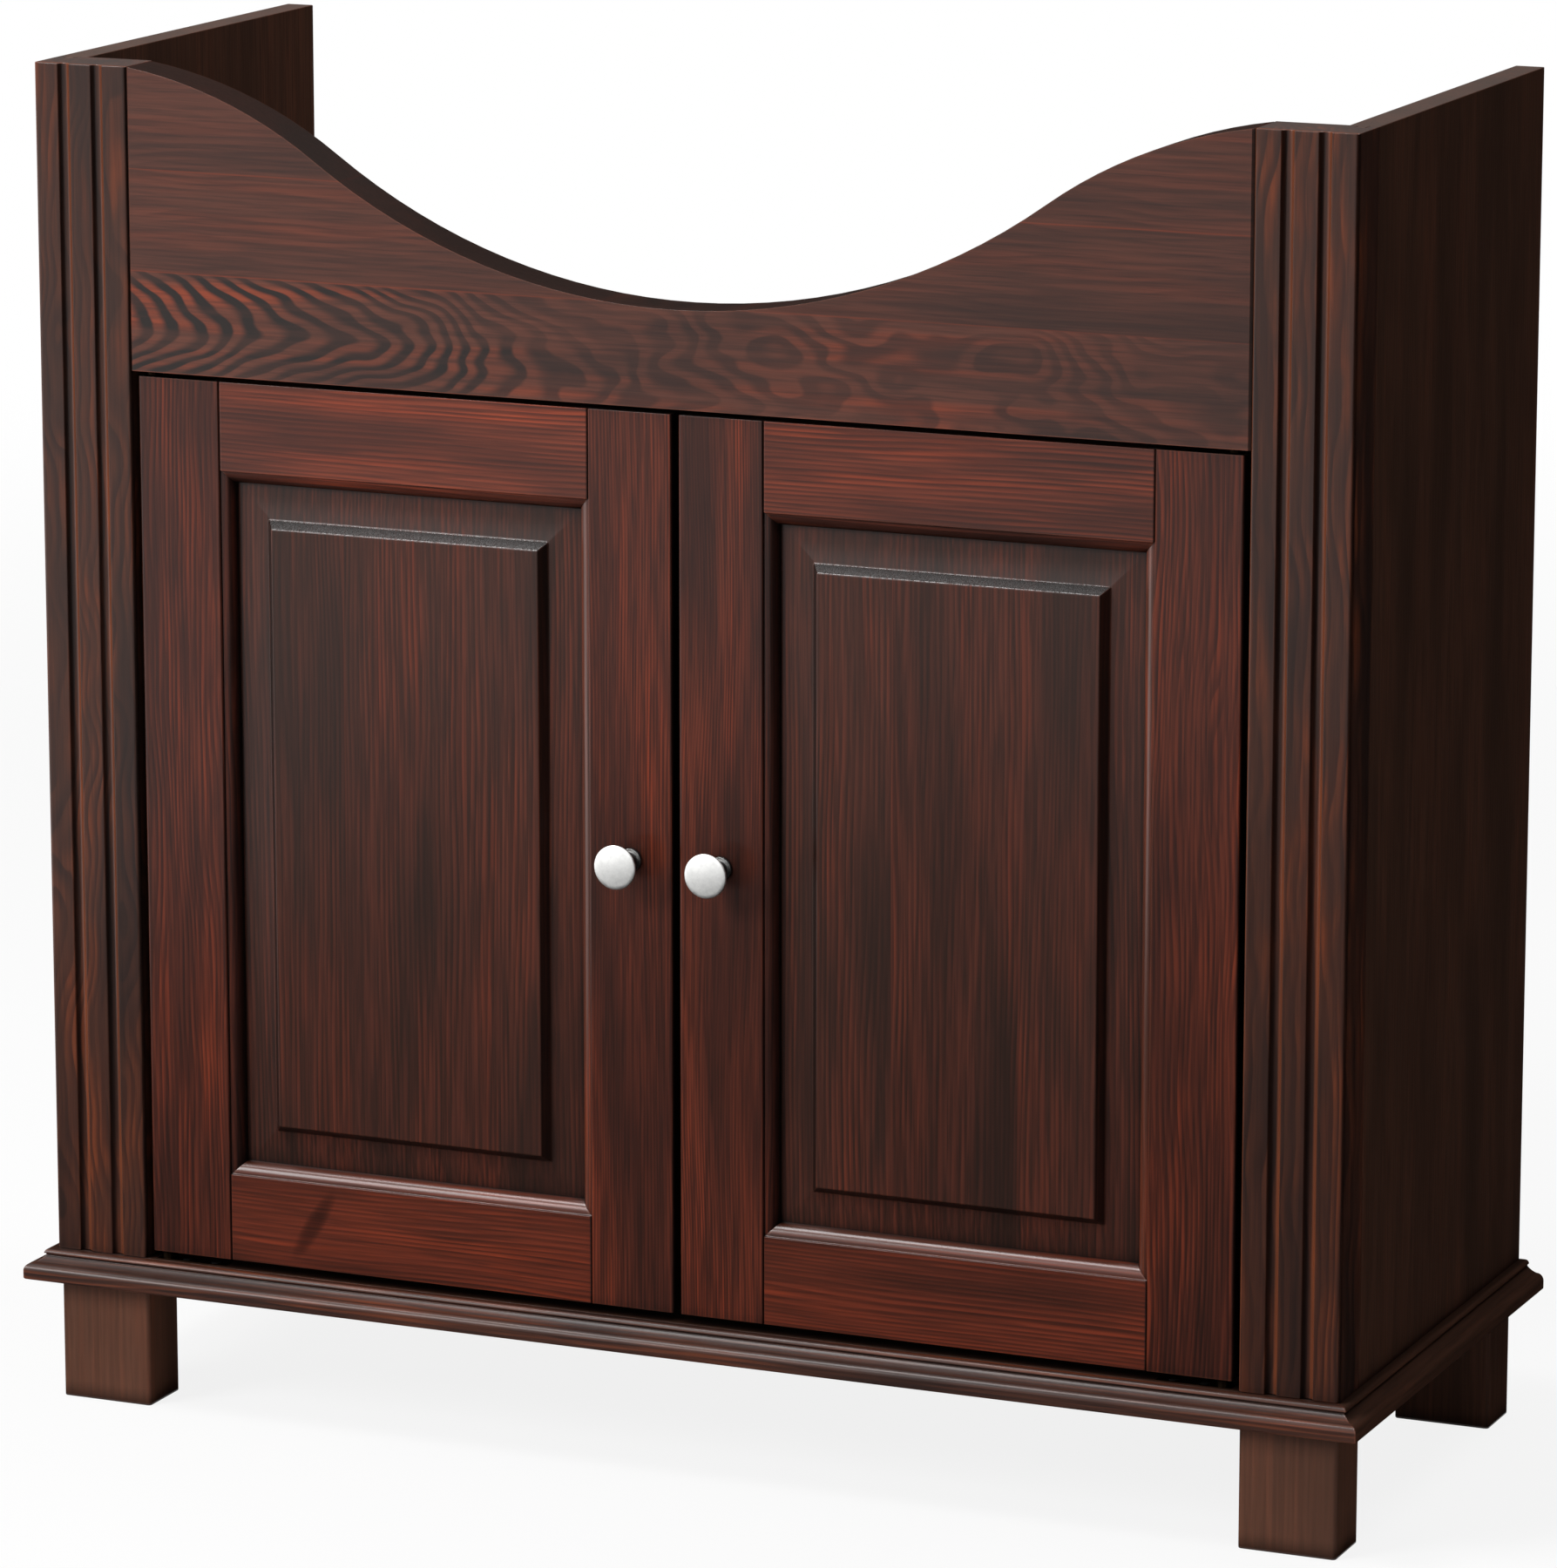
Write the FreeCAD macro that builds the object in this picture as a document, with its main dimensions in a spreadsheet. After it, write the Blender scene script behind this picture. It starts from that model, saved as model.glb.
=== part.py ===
import FreeCAD, Part
import math
import os
import re
import Sketcher

# Washbasin base cabinet: fluted posts, an apron with a curved dip and two framed doors with raised panels.
# Millimetres. X runs along the front, Y towards the back and Z up.
# The origin lies on the floor, under the middle.

SIZES = {
    "body_width": 650,
    "body_depth": 260,
    "total_height": 645,
    # feet
    "foot_height": 60,
    "foot_width": 47,
    "foot_depth": 30,
    "foot_inset_side": 1,
    "foot_inset_front": 1.5,
    "foot_inset_back": 10,
    "foot_round": 2,
    # base board and the moulding round it
    "base_thickness": 14,
    "moulding_overhang": 12.4,
    "moulding_toe": 1.2,
    "moulding_nose": 4.4,
    "moulding_torus": 3.6,
    "moulding_cove_run": 4.6,
    "moulding_cove_sag": 0.4,
    "moulding_quirk": 1.1,
    "moulding_undercut": 0.8,
    "moulding_bead": 2,
    # fluted posts
    "pilaster_width": 48,
    "pilaster_thickness": 27,
    "pilaster_round": 1.8,
    "flute_width": 6,
    "flute_depth": 2.2,
    "flute_pitch": 17.2,
    # sides, tongued into the posts
    "side_thickness": 14,
    "tongue_thickness": 5,
    "tongue_length": 6,
    "fit_gap": 0.3,
    # apron, tenoned into the posts, its underside measured from the top
    "apron_underside": 142,
    "apron_thickness": 25,
    "apron_dip": 96.5,
    "apron_bowl_radius": 310,
    "apron_shoulder_radius": 220,
    "apron_end_ease": 1.2,
    "tenon_thickness": 9,
    "tenon_length": 12,
    "tenon_shoulder": 14,
    # rails across the open back
    "back_rail_thickness": 14,
    "back_rail_height": 56,
    "upper_rail_top": 470,
    # doors
    "door_recess": 1.5,
    "door_thickness": 20,
    "door_side_gap": 3,
    "door_meeting_gap": 3.2,
    "door_top_gap": 2.5,
    "door_bottom_gap": 4,
    "door_round": 1.5,
    "stile_flat": 42,
    "rail_flat": 42,
    "sticking_width": 6,
    "sticking_quirk": 1.4,
    "joint_ease": 0.7,
    "groove_width": 6,
    "groove_depth": 8,
    # raised panels
    "panel_margin": 16.3,
    "panel_slope": 1.5,
    "panel_shoulder": 3.7,
    "panel_setback": 1,
    "panel_room": 1,
    "panel_play": 0.4,
    # knobs
    "knob_diameter": 20.8,
    "knob_reach": 19,
    "knob_height": 292,
    "knob_foot_diameter": 11,
    "knob_foot_height": 1.6,
    "knob_neck_diameter": 7.6,
    "knob_neck_height": 13.4,
    "knob_back_diameter": 15,
    "knob_rim_height": 1.8,
    "knob_dome": 1.6,
    "knob_face_diameter": 13,
    "knob_thread": 4,
    "knob_thread_depth": 9,
    "knob_screw_head": 8,
    "knob_screw_head_height": 2.4,
    "knob_screw_play": 0.2,
    # pivot hinges
    "pivot_edge": 6,
    "pivot_face": 6,
    "leaf_width": 9,
    "leaf_thickness": 2,
    "leaf_inset": 1.5,
    "leaf_land": 2.5,
    "pin_diameter": 5,
    "pin_clearance": 0.05,
    "pin_reach": 9,
    "pin_room": 0.5,
    "collar_diameter": 8,
    "hinge_play": 0.15,
    "leaf_screw_head": 5,
    "leaf_screw_shank": 2.8,
    "leaf_screw_length": 9,
    "leaf_screw_first": 14,
    "leaf_screw_pitch": 15,
    "screw_play": 0.1,
    # dowels
    "foot_dowel_diameter": 10,
    "foot_dowel_in_base": 9,
    "foot_dowel_in_foot": 25,
    "dowel_diameter": 8,
    "dowel_in_board": 9,
    "dowel_in_end": 18,
    "dowel_play": 0.1,
    "post_dowel_inset": 12,
    "side_dowel_inset": 40,
    # magnetic catch
    "catch_depth": 12,
    "catch_drop": 14,
    "catch_rise": 16,
    "catch_air": 0.5,
    "catch_play": 0.3,
    "catch_cheek": 4,
    "magnet_depth": 5,
    "magnet_height": 9,
    "magnet_cheek": 2,
    "strike_thickness": 1.2,
    "strike_width": 14,
    "strike_length": 28,
    "strike_top_inset": 2,
    "strike_edge_inset": 8,
    "strike_screw_rise": 7,
    "small_screw_head": 6,
    "small_screw_head_height": 1.8,
    "small_screw_shank": 3,
    "small_screw_length": 13,
}

# Lengths and places that follow from the sizes above, in the same words.
PLACES = {
    "left_edge": "-body_width / 2",
    "front_face": "-(body_depth - knob_reach + door_recess) / 2",
    "back_face": "front_face + body_depth",
    "base_top": "foot_height + base_thickness",
    "carcass_height": "total_height - base_top",
    "apron_length": "body_width - 2 * pilaster_width",
    "apron_bottom": "total_height - apron_underside",
    "apron_end_height": "total_height - apron_bottom",
    "tenon_height": "apron_end_height - 2 * tenon_shoulder",
    "quirk_bottom": "base_thickness - moulding_bead - moulding_quirk",
    "cove_rise": "quirk_bottom - moulding_nose - moulding_torus",
    "cove_radius": "(moulding_cove_run^2 + cove_rise^2) / (8 * moulding_cove_sag) + moulding_cove_sag / 2",
    "flute_radius": "(flute_width^2 / 4 + flute_depth^2) / (2 * flute_depth)",
    "tongue_start": "(side_thickness - tongue_thickness) / 2",
    "door_width": "(apron_length - 2 * door_side_gap - door_meeting_gap) / 2",
    "door_left": "left_edge + pilaster_width + door_side_gap",
    "door_front": "front_face + door_recess",
    "door_bottom": "base_top + door_bottom_gap",
    "door_top": "apron_bottom - door_top_gap",
    "door_height": "door_top - door_bottom",
    "stile_width": "stile_flat + sticking_width",
    "rail_width": "rail_flat + sticking_width",
    "groove_front": "sticking_quirk + sticking_width",
    "groove_back": "groove_front + groove_width",
    "rail_tip": "stile_width - groove_depth + fit_gap",
    "panel_left": "stile_width - groove_depth + panel_room",
    "panel_bottom": "rail_width - groove_depth",
    "margin_back": "groove_front - panel_slope",
    "knob_x": "door_width - stile_flat / 2",
    "knob_z": "knob_height - door_bottom",
    "knob_hole": "knob_thread + 2 * knob_screw_play",
    "pivot_x": "door_left + pivot_edge",
    "pivot_y": "door_front + pivot_face",
    "leaf_length": "stile_width - groove_depth - leaf_inset - leaf_land",
    "leaf_x": "door_left + leaf_inset",
    "leaf_y": "pivot_y - leaf_width / 2",
    "leaf_from_face": "pivot_face - leaf_width / 2",
    "pin_in_leaf": "pivot_edge - leaf_inset",
    "leaf_screw_hole": "leaf_screw_head + 2 * screw_play",
    "leaf_pilot": "leaf_screw_shank + 2 * screw_play",
    "pin_hole": "pin_diameter + 2 * pin_clearance",
    "pin_bore": "pin_diameter + 2 * pin_room",
    "pin_bore_depth": "leaf_thickness + pin_reach + pin_room",
    "foot_dowel_hole": "foot_dowel_diameter + 2 * dowel_play",
    "dowel_hole": "dowel_diameter + 2 * dowel_play",
    "foot_centre_x": "left_edge + foot_inset_side + foot_width / 2",
    "front_foot_y": "front_face + foot_inset_front",
    "rear_foot_y": "back_face - foot_inset_back - foot_depth",
    "post_dowel_x": "pilaster_width - post_dowel_inset",
    "post_dowel_y": "pilaster_thickness / 2",
    "side_length": "body_depth - pilaster_thickness",
    "rail_length": "body_width - 2 * side_thickness",
    "strike_x": "door_width - strike_edge_inset - strike_width",
    "strike_z": "door_height - strike_top_inset - strike_length",
    "catch_width": "door_meeting_gap + 2 * (strike_edge_inset + strike_width + catch_cheek)",
    "catch_nose": "apron_thickness - door_recess - door_thickness - strike_thickness - catch_play",
    "catch_screw_x": "catch_width / 2 - 2 * catch_cheek",
    "magnet_width": "strike_width - 2 * magnet_cheek",
    "magnet_x": "door_meeting_gap / 2 + strike_edge_inset + magnet_cheek",
    "magnet_z": "-(catch_drop + catch_air + magnet_height) / 2",
    "small_pilot": "small_screw_shank + 2 * screw_play",
}

OVERCUT = 2
ROUND = 0
SHANK_SIDES = 8
ROD_SIDES = 12
UPWARD = FreeCAD.Rotation()
TO_RIGHT = FreeCAD.Rotation(FreeCAD.Vector(0, 1, 0), 90)
TO_FRONT = FreeCAD.Rotation(FreeCAD.Vector(1, 0, 0), 90)

doc = FreeCAD.newDocument("washbasin_cabinet")
sheet = doc.addObject("Spreadsheet::Sheet", "Sizes")
for row, (alias, millimetres) in enumerate(SIZES.items(), start=1):
    sheet.set(f"A{row}", alias)
    sheet.set(f"B{row}", str(millimetres))
    sheet.setAlias(f"B{row}", alias)
doc.recompute()


def tied(expression):
    """Spell an expression of sizes and places out in cells of the sheet."""

    def spell(match):
        word = match.group(0)
        if word in PLACES:
            return f"({tied(PLACES[word])})"
        return f"Sizes.{word}" if word in SIZES else word

    return re.sub(r"[a-z][a-z0-9_]*", spell, str(expression))


def value(expression):
    """Number that an expression has at the present sizes."""
    return float(sheet.evalExpression(tied(expression)))


def bind(feature, sizes):
    """Tie properties of a feature to expressions."""
    for path, expression in sizes.items():
        feature.setExpression(path, tied(expression))


def place(feature, corner, turn=UPWARD):
    """Turn a feature and tie its place to three expressions."""
    feature.Placement = FreeCAD.Placement(FreeCAD.Vector(), turn)
    bind(feature, {f"Placement.Base.{axis}": step for axis, step in zip("xyz", corner)})


def new_body(label, corner, turn=UPWARD):
    """Empty body of one sub-part, at its place in the cabinet."""
    body = doc.addObject("PartDesign::Body", label)
    body.Label = label
    place(body, corner, turn)
    return body


def block(body, name, size, corner, cut=False):
    """Box added to a body, or cut from it."""
    kind = "Subtractive" if cut else "Additive"
    feature = body.newObject(f"PartDesign::{kind}Box", name)
    bind(feature, dict(zip(("Length", "Width", "Height"), size)))
    place(feature, corner)
    return feature


def shape_rod(feature, diameter, length, start, turn, sides):
    """Give a cylinder, or a prism of some sides, its size and the middle of its first end."""
    if sides != ROUND:
        feature.Polygon = sides
    radius = "Radius" if sides == ROUND else "Circumradius"
    bind(feature, {radius: f"({diameter}) / 2", "Height": length})
    place(feature, start, turn)
    return feature


def rod(body, name, diameter, length, start, turn=UPWARD, sides=ROUND):
    """Rod added to a body."""
    kind = "Cylinder" if sides == ROUND else "Prism"
    feature = body.newObject(f"PartDesign::Additive{kind}", name)
    return shape_rod(feature, diameter, length, start, turn, sides)


def bore(body, name, diameter, length, start, turn=UPWARD, sides=ROUND):
    """Hole cut into a body."""
    kind = "Cylinder" if sides == ROUND else "Prism"
    feature = body.newObject(f"PartDesign::Subtractive{kind}", name)
    return shape_rod(feature, diameter, length, start, turn, sides)


def frustum(body, name, near, far, front, back):
    """Rectangle at the front depth that widens to another at the back depth.

    near and far give the distance of each rectangle from the door's upright and level edges.
    """
    feature = body.newObject("PartDesign::AdditiveWedge", name)
    bind(feature, {"Ymin": front, "Ymax": back})
    for mark, (across, up) in (("", near), ("2", far)):
        bind(feature, {f"X{mark}min": across, f"X{mark}max": f"door_width - ({across})"})
        bind(feature, {f"Z{mark}min": up, f"Z{mark}max": f"door_height - ({up})"})


def arc_between(start, end, radius, turn):
    """Arc of under a half circle from start to end, and its (first, last) point numbers.

    turn is 1 for an arc that bends to the left on its way and -1 for one that bends to the right.
    """
    chord = end - start
    rise = math.sqrt(radius ** 2 - (chord.Length / 2) ** 2)
    left = FreeCAD.Vector(-chord.y, chord.x, 0).normalize()
    centre = (start + end) / 2 + left * (turn * rise)
    first, last = (start, end) if turn > 0 else (end, start)
    begin = math.atan2(first.y - centre.y, first.x - centre.x)
    sweep = (math.atan2(last.y - centre.y, last.x - centre.x) - begin) % (2 * math.pi)
    circle = Part.Circle(centre, FreeCAD.Vector(0, 0, 1), radius)
    return Part.ArcOfCircle(circle, begin, begin + sweep), (1, 2) if turn > 0 else (2, 1)


def constrain(sketch, kind, places, expression):
    """Add a named dimension to a sketch and tie it to an expression."""
    index = sketch.addConstraint(Sketcher.Constraint(kind, *places, value(expression)))
    name = f"{kind}_{index}"
    sketch.renameConstraint(index, name)
    sketch.setExpression(f"Constraints.{name}", tied(expression))


def pin_down(sketch, edge, end, across, up):
    """Tie a point of a sketch to its distances from the origin."""
    for kind, axis, expression in (("DistanceX", -2, across), ("DistanceY", -1, up)):
        if str(expression) == "0":
            sketch.addConstraint(Sketcher.Constraint("PointOnObject", edge, end, axis))
        else:
            constrain(sketch, kind, (-1, 1, edge, end), expression)


def draw(sketch, corners):
    """Closed outline through corners (across, up), whose edges are straight.

    A corner (across, up, radius, turn) is left by an arc, which bends as arc_between says.
    """
    points = [FreeCAD.Vector(value(corner[0]), value(corner[1]), 0) for corner in corners]
    edges = []
    for corner, start, end in zip(corners, points, points[1:] + points[:1]):
        if len(corner) == 2:
            curve, ends = Part.LineSegment(start, end), (1, 2)
        else:
            curve, ends = arc_between(start, end, value(corner[2]), corner[3])
        edges.append((sketch.addGeometry(curve), ends))
    for corner, (edge, ends), (following, next_ends) in zip(corners, edges, edges[1:] + edges[:1]):
        sketch.addConstraint(Sketcher.Constraint("Coincident", edge, ends[1], following, next_ends[0]))
        pin_down(sketch, edge, ends[0], corner[0], corner[1])
        if len(corner) > 2:
            constrain(sketch, "Radius", (edge,), corner[2])


def new_sketch(body, name, role):
    """Empty sketch on one of the body's own origin planes."""
    sketch = body.newObject("Sketcher::SketchObject", name)
    plane = next(item for item in body.Origin.OriginFeatures if item.Role == role)
    sketch.AttachmentSupport = [(plane, "")]
    sketch.MapMode = "FlatFace"
    return sketch


def profile(body, name, role, *outlines):
    """Sketch of closed outlines on one of the body's own origin planes."""
    sketch = new_sketch(body, name, role)
    for outline in outlines:
        draw(sketch, outline)
    return sketch


def pad(body, sketch, length, reverse=False):
    """Sketch drawn out to a length."""
    feature = body.newObject("PartDesign::Pad", "pad")
    feature.Profile = sketch
    feature.Reversed = reverse
    bind(feature, {"Length": length})
    return feature


def cut_through(body, sketch):
    """Sketch cut all the way through what lies on the far side of its plane."""
    feature = body.newObject("PartDesign::Pocket", "cut")
    feature.Profile = sketch
    feature.Type = "ThroughAll"
    feature.Reversed = True
    return feature


def flipped(corners, across=None, up=None):
    """Outline mirrored from the far side of a width or a height."""
    result = []
    for corner in corners:
        x = f"{across} - ({corner[0]})" if across else corner[0]
        y = f"{up} - ({corner[1]})" if up else corner[1]
        result.append((x, y, corner[2], -corner[3]) if len(corner) > 2 else (x, y))
    return result


def mirrored(source, label):
    """Right-hand twin of a left-hand sub-part."""
    twin = doc.addObject("Part::Mirroring", label)
    twin.Label = label
    twin.Source = source
    twin.Normal = FreeCAD.Vector(1, 0, 0)
    return twin


def peg(diameter, length, start, turn=UPWARD, sides=ROD_SIDES):
    """Loose rod for a group."""
    kind = "Cylinder" if sides == ROUND else "Prism"
    return shape_rod(doc.addObject(f"Part::{kind}", "peg"), diameter, length, start, turn, sides)


def group(label, pieces):
    """Sub-part of several like solids."""
    compound = doc.addObject("Part::Compound", label)
    compound.Label = label
    compound.Links = pieces
    return compound


def screw(head, head_height, shank, length, seat, turn, head_sides=SHANK_SIDES):
    """Screw whose head stands on its seat and whose shank runs the other way.

    seat is the middle of the face under the head, and turn points from the shank to the head.
    """
    back = turn.multVec(FreeCAD.Vector(0, 0, -1))
    tip = [f"({place_of}) + ({step:g}) * ({length})" for place_of, step in zip(seat, back)]
    pair = doc.addObject("Part::MultiFuse", "screw")
    pair.Shapes = [
        peg(head, head_height, seat, turn, head_sides),
        peg(shank, length, tip, turn, SHANK_SIDES),
    ]
    return pair


def both_sides(x):
    """A place left of the middle and its mirror image."""
    return (x, f"-({x})")


def foot(label, y):
    """Foot with rounded uprights and a bore for its dowel."""
    body = new_body(label, ("left_edge + foot_inset_side", y, "0"))
    post = block(body, "post", ("foot_width", "foot_depth", "foot_height"), ("0", "0", "0"))
    doc.recompute()
    uprights = [
        f"Edge{number}"
        for number, edge in enumerate(post.Shape.Edges, start=1)
        if abs(edge.tangentAt(edge.FirstParameter).z) > 0.5
    ]
    rounding = body.newObject("PartDesign::Fillet", "rounding")
    rounding.Base = (post, uprights)
    bind(rounding, {"Radius": "foot_round"})
    bore_start = ("foot_width / 2", "foot_depth / 2", "foot_height - foot_dowel_in_foot")
    bore(body, "dowel_bore", "foot_dowel_hole", "foot_dowel_in_foot", bore_start, sides=ROD_SIDES)
    return body


def base_panel():
    """Board that carries the posts, sides and lower pivots."""
    body = new_body("base_panel", ("left_edge", "front_face", "foot_height"))
    block(body, "board", ("body_width", "body_depth", "base_thickness"), ("0", "0", "0"))
    seat = "base_thickness - leaf_thickness"
    from_left = "pilaster_width + door_side_gap + leaf_inset"
    leaf = ("leaf_length", "leaf_width", "leaf_thickness")
    for x in (from_left, f"body_width - ({from_left}) - leaf_length"):
        block(body, "leaf_seat", leaf, (x, "door_recess + leaf_from_face", seat), cut=True)
    for x in ("foot_centre_x - left_edge", "left_edge + body_width - foot_centre_x"):
        for y in ("front_foot_y", "rear_foot_y"):
            start = (x, f"{y} - front_face + foot_depth / 2", "0")
            bore(body, "foot_bore", "foot_dowel_hole", "foot_dowel_in_base", start, sides=ROD_SIDES)
    bore_bottom = "base_thickness - dowel_in_board"
    for x, y in upright_dowels():
        start = (f"{x} - left_edge", f"{y} - front_face", bore_bottom)
        bore(body, "dowel_bore", "dowel_hole", "dowel_in_board", start, sides=ROD_SIDES)
    for x in leaf_screw_places():
        start = (f"{x} - left_edge", "pivot_y - front_face", f"{seat} - leaf_screw_length")
        bore(body, "pilot", "leaf_pilot", "leaf_screw_length", start, sides=SHANK_SIDES)
    return body


def upright_dowels():
    """Places (x, y) of the dowels that stand in the base board, on both sides."""
    left = [
        ("left_edge + post_dowel_x", "front_face + post_dowel_y"),
        ("left_edge + side_thickness / 2", "front_face + pilaster_thickness + side_dowel_inset"),
        ("left_edge + side_thickness / 2", "back_face - side_dowel_inset"),
    ]
    return [(x, y) for place_x, y in left for x in both_sides(place_x)]


def level_dowels():
    """Places (x, y, z) where the dowels of the back rails start inside the side panels."""
    y = "back_face - back_rail_thickness / 2"
    heights = ("upper_rail_top - back_rail_height / 2", "base_top + back_rail_height / 2")
    return [("left_edge + side_thickness - dowel_in_board", y, z) for z in heights]


def leaf_screw_places():
    """X of the hinge screws on both sides."""
    first = "leaf_x + leaf_screw_first"
    return [x for left in (first, f"{first} + leaf_screw_pitch") for x in both_sides(left)]


def moulding_section():
    """Section of the base moulding: nose, torus, shallow cove, quirk and bead, to the edge of the board."""
    torus_top = "moulding_nose + moulding_torus"
    quirk = "moulding_torus + moulding_cove_run"
    quirk_top = "base_thickness - moulding_bead"
    lip = f"{quirk} - moulding_undercut"
    return [
        ("moulding_overhang", "0"),
        ("moulding_toe", "0", "moulding_toe", -1),
        ("0", "moulding_toe"),
        ("0", "moulding_nose", "moulding_torus", -1),
        ("moulding_torus", torus_top, "cove_radius", 1),
        (quirk, "quirk_bottom"),
        (quirk, quirk_top),
        (lip, quirk_top, "moulding_bead", -1),
        (f"{lip} + moulding_bead", "base_thickness"),
        ("moulding_overhang", "base_thickness"),
    ]


def front_moulding():
    """Strip along the front, mitred at both ends."""
    corner = ("left_edge - moulding_overhang", "front_face - moulding_overhang", "foot_height")
    body = new_body("front_moulding", corner)
    length = "body_width + 2 * moulding_overhang"
    pad(body, profile(body, "section", "YZ_Plane", moulding_section()), length)
    inner = f"moulding_overhang + {OVERCUT}"
    mitre = [(f"-{OVERCUT}", f"-{OVERCUT}"), (inner, inner), (f"-{OVERCUT}", inner)]
    cut_through(body, profile(body, "mitres", "XY_Plane", mitre, flipped(mitre, across=f"({length})")))
    return body


def left_moulding():
    """Strip along the left side, mitred in front and square at the back."""
    corner = ("left_edge - moulding_overhang", "front_face - moulding_overhang", "foot_height")
    body = new_body("left_moulding", corner)
    section = profile(body, "section", "XZ_Plane", moulding_section())
    pad(body, section, "moulding_overhang + body_depth", reverse=True)
    inner = f"moulding_overhang + {OVERCUT}"
    mitre = [(f"-{OVERCUT}", f"-{OVERCUT}"), (inner, f"-{OVERCUT}"), (inner, inner)]
    cut_through(body, profile(body, "mitre", "XY_Plane", mitre))
    return body


def left_pilaster():
    """Post with two round flutes, a groove for the side and a mortise for the apron."""
    body = new_body("left_pilaster", ("left_edge", "front_face", "base_top"))
    middles = ("(pilaster_width - flute_pitch) / 2", "(pilaster_width + flute_pitch) / 2")
    groove_bottom = "pilaster_thickness - tongue_length - fit_gap"
    outline = [("pilaster_round", "0")]
    for middle in middles:
        outline.append((f"{middle} - flute_width / 2", "0", "flute_radius", -1))
        outline.append((f"{middle} + flute_width / 2", "0"))
    outline += [
        ("pilaster_width - pilaster_round", "0", "pilaster_round", 1),
        ("pilaster_width", "pilaster_round"),
        ("pilaster_width", "pilaster_thickness"),
        ("tongue_start + tongue_thickness", "pilaster_thickness"),
        ("tongue_start + tongue_thickness", groove_bottom),
        ("tongue_start", groove_bottom),
        ("tongue_start", "pilaster_thickness"),
        ("0", "pilaster_thickness"),
        ("0", "pilaster_round", "pilaster_round", 1),
    ]
    pad(body, profile(body, "plan", "XY_Plane", outline), "carcass_height")
    mortise = ("tenon_length + fit_gap", "tenon_thickness", "tenon_height")
    mortise_corner = (
        "pilaster_width - tenon_length - fit_gap",
        "(apron_thickness - tenon_thickness) / 2",
        "apron_bottom - base_top + tenon_shoulder",
    )
    block(body, "mortise", mortise, mortise_corner, cut=True)
    bore_start = ("post_dowel_x", "post_dowel_y", "0")
    bore(body, "dowel_bore", "dowel_hole", "dowel_in_end", bore_start, sides=ROD_SIDES)
    return body


def left_side_panel():
    """Side board with a tongue along its front edge."""
    body = new_body("left_side_panel", ("left_edge", "front_face + pilaster_thickness", "base_top"))
    block(body, "board", ("side_thickness", "side_length", "carcass_height"), ("0", "0", "0"))
    tongue = ("tongue_thickness", "tongue_length", "carcass_height")
    block(body, "tongue", tongue, ("tongue_start", "-tongue_length", "0"))
    for y in ("side_dowel_inset", "side_length - side_dowel_inset"):
        start = ("side_thickness / 2", y, "0")
        bore(body, "dowel_bore", "dowel_hole", "dowel_in_end", start, sides=ROD_SIDES)
    for x, y, z in level_dowels():
        start = (f"{x} - left_edge", f"{y} - front_face - pilaster_thickness", f"{z} - base_top")
        bore(body, "rail_bore", "dowel_hole", "dowel_in_board", start, TO_RIGHT, ROD_SIDES)
    return body


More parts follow.
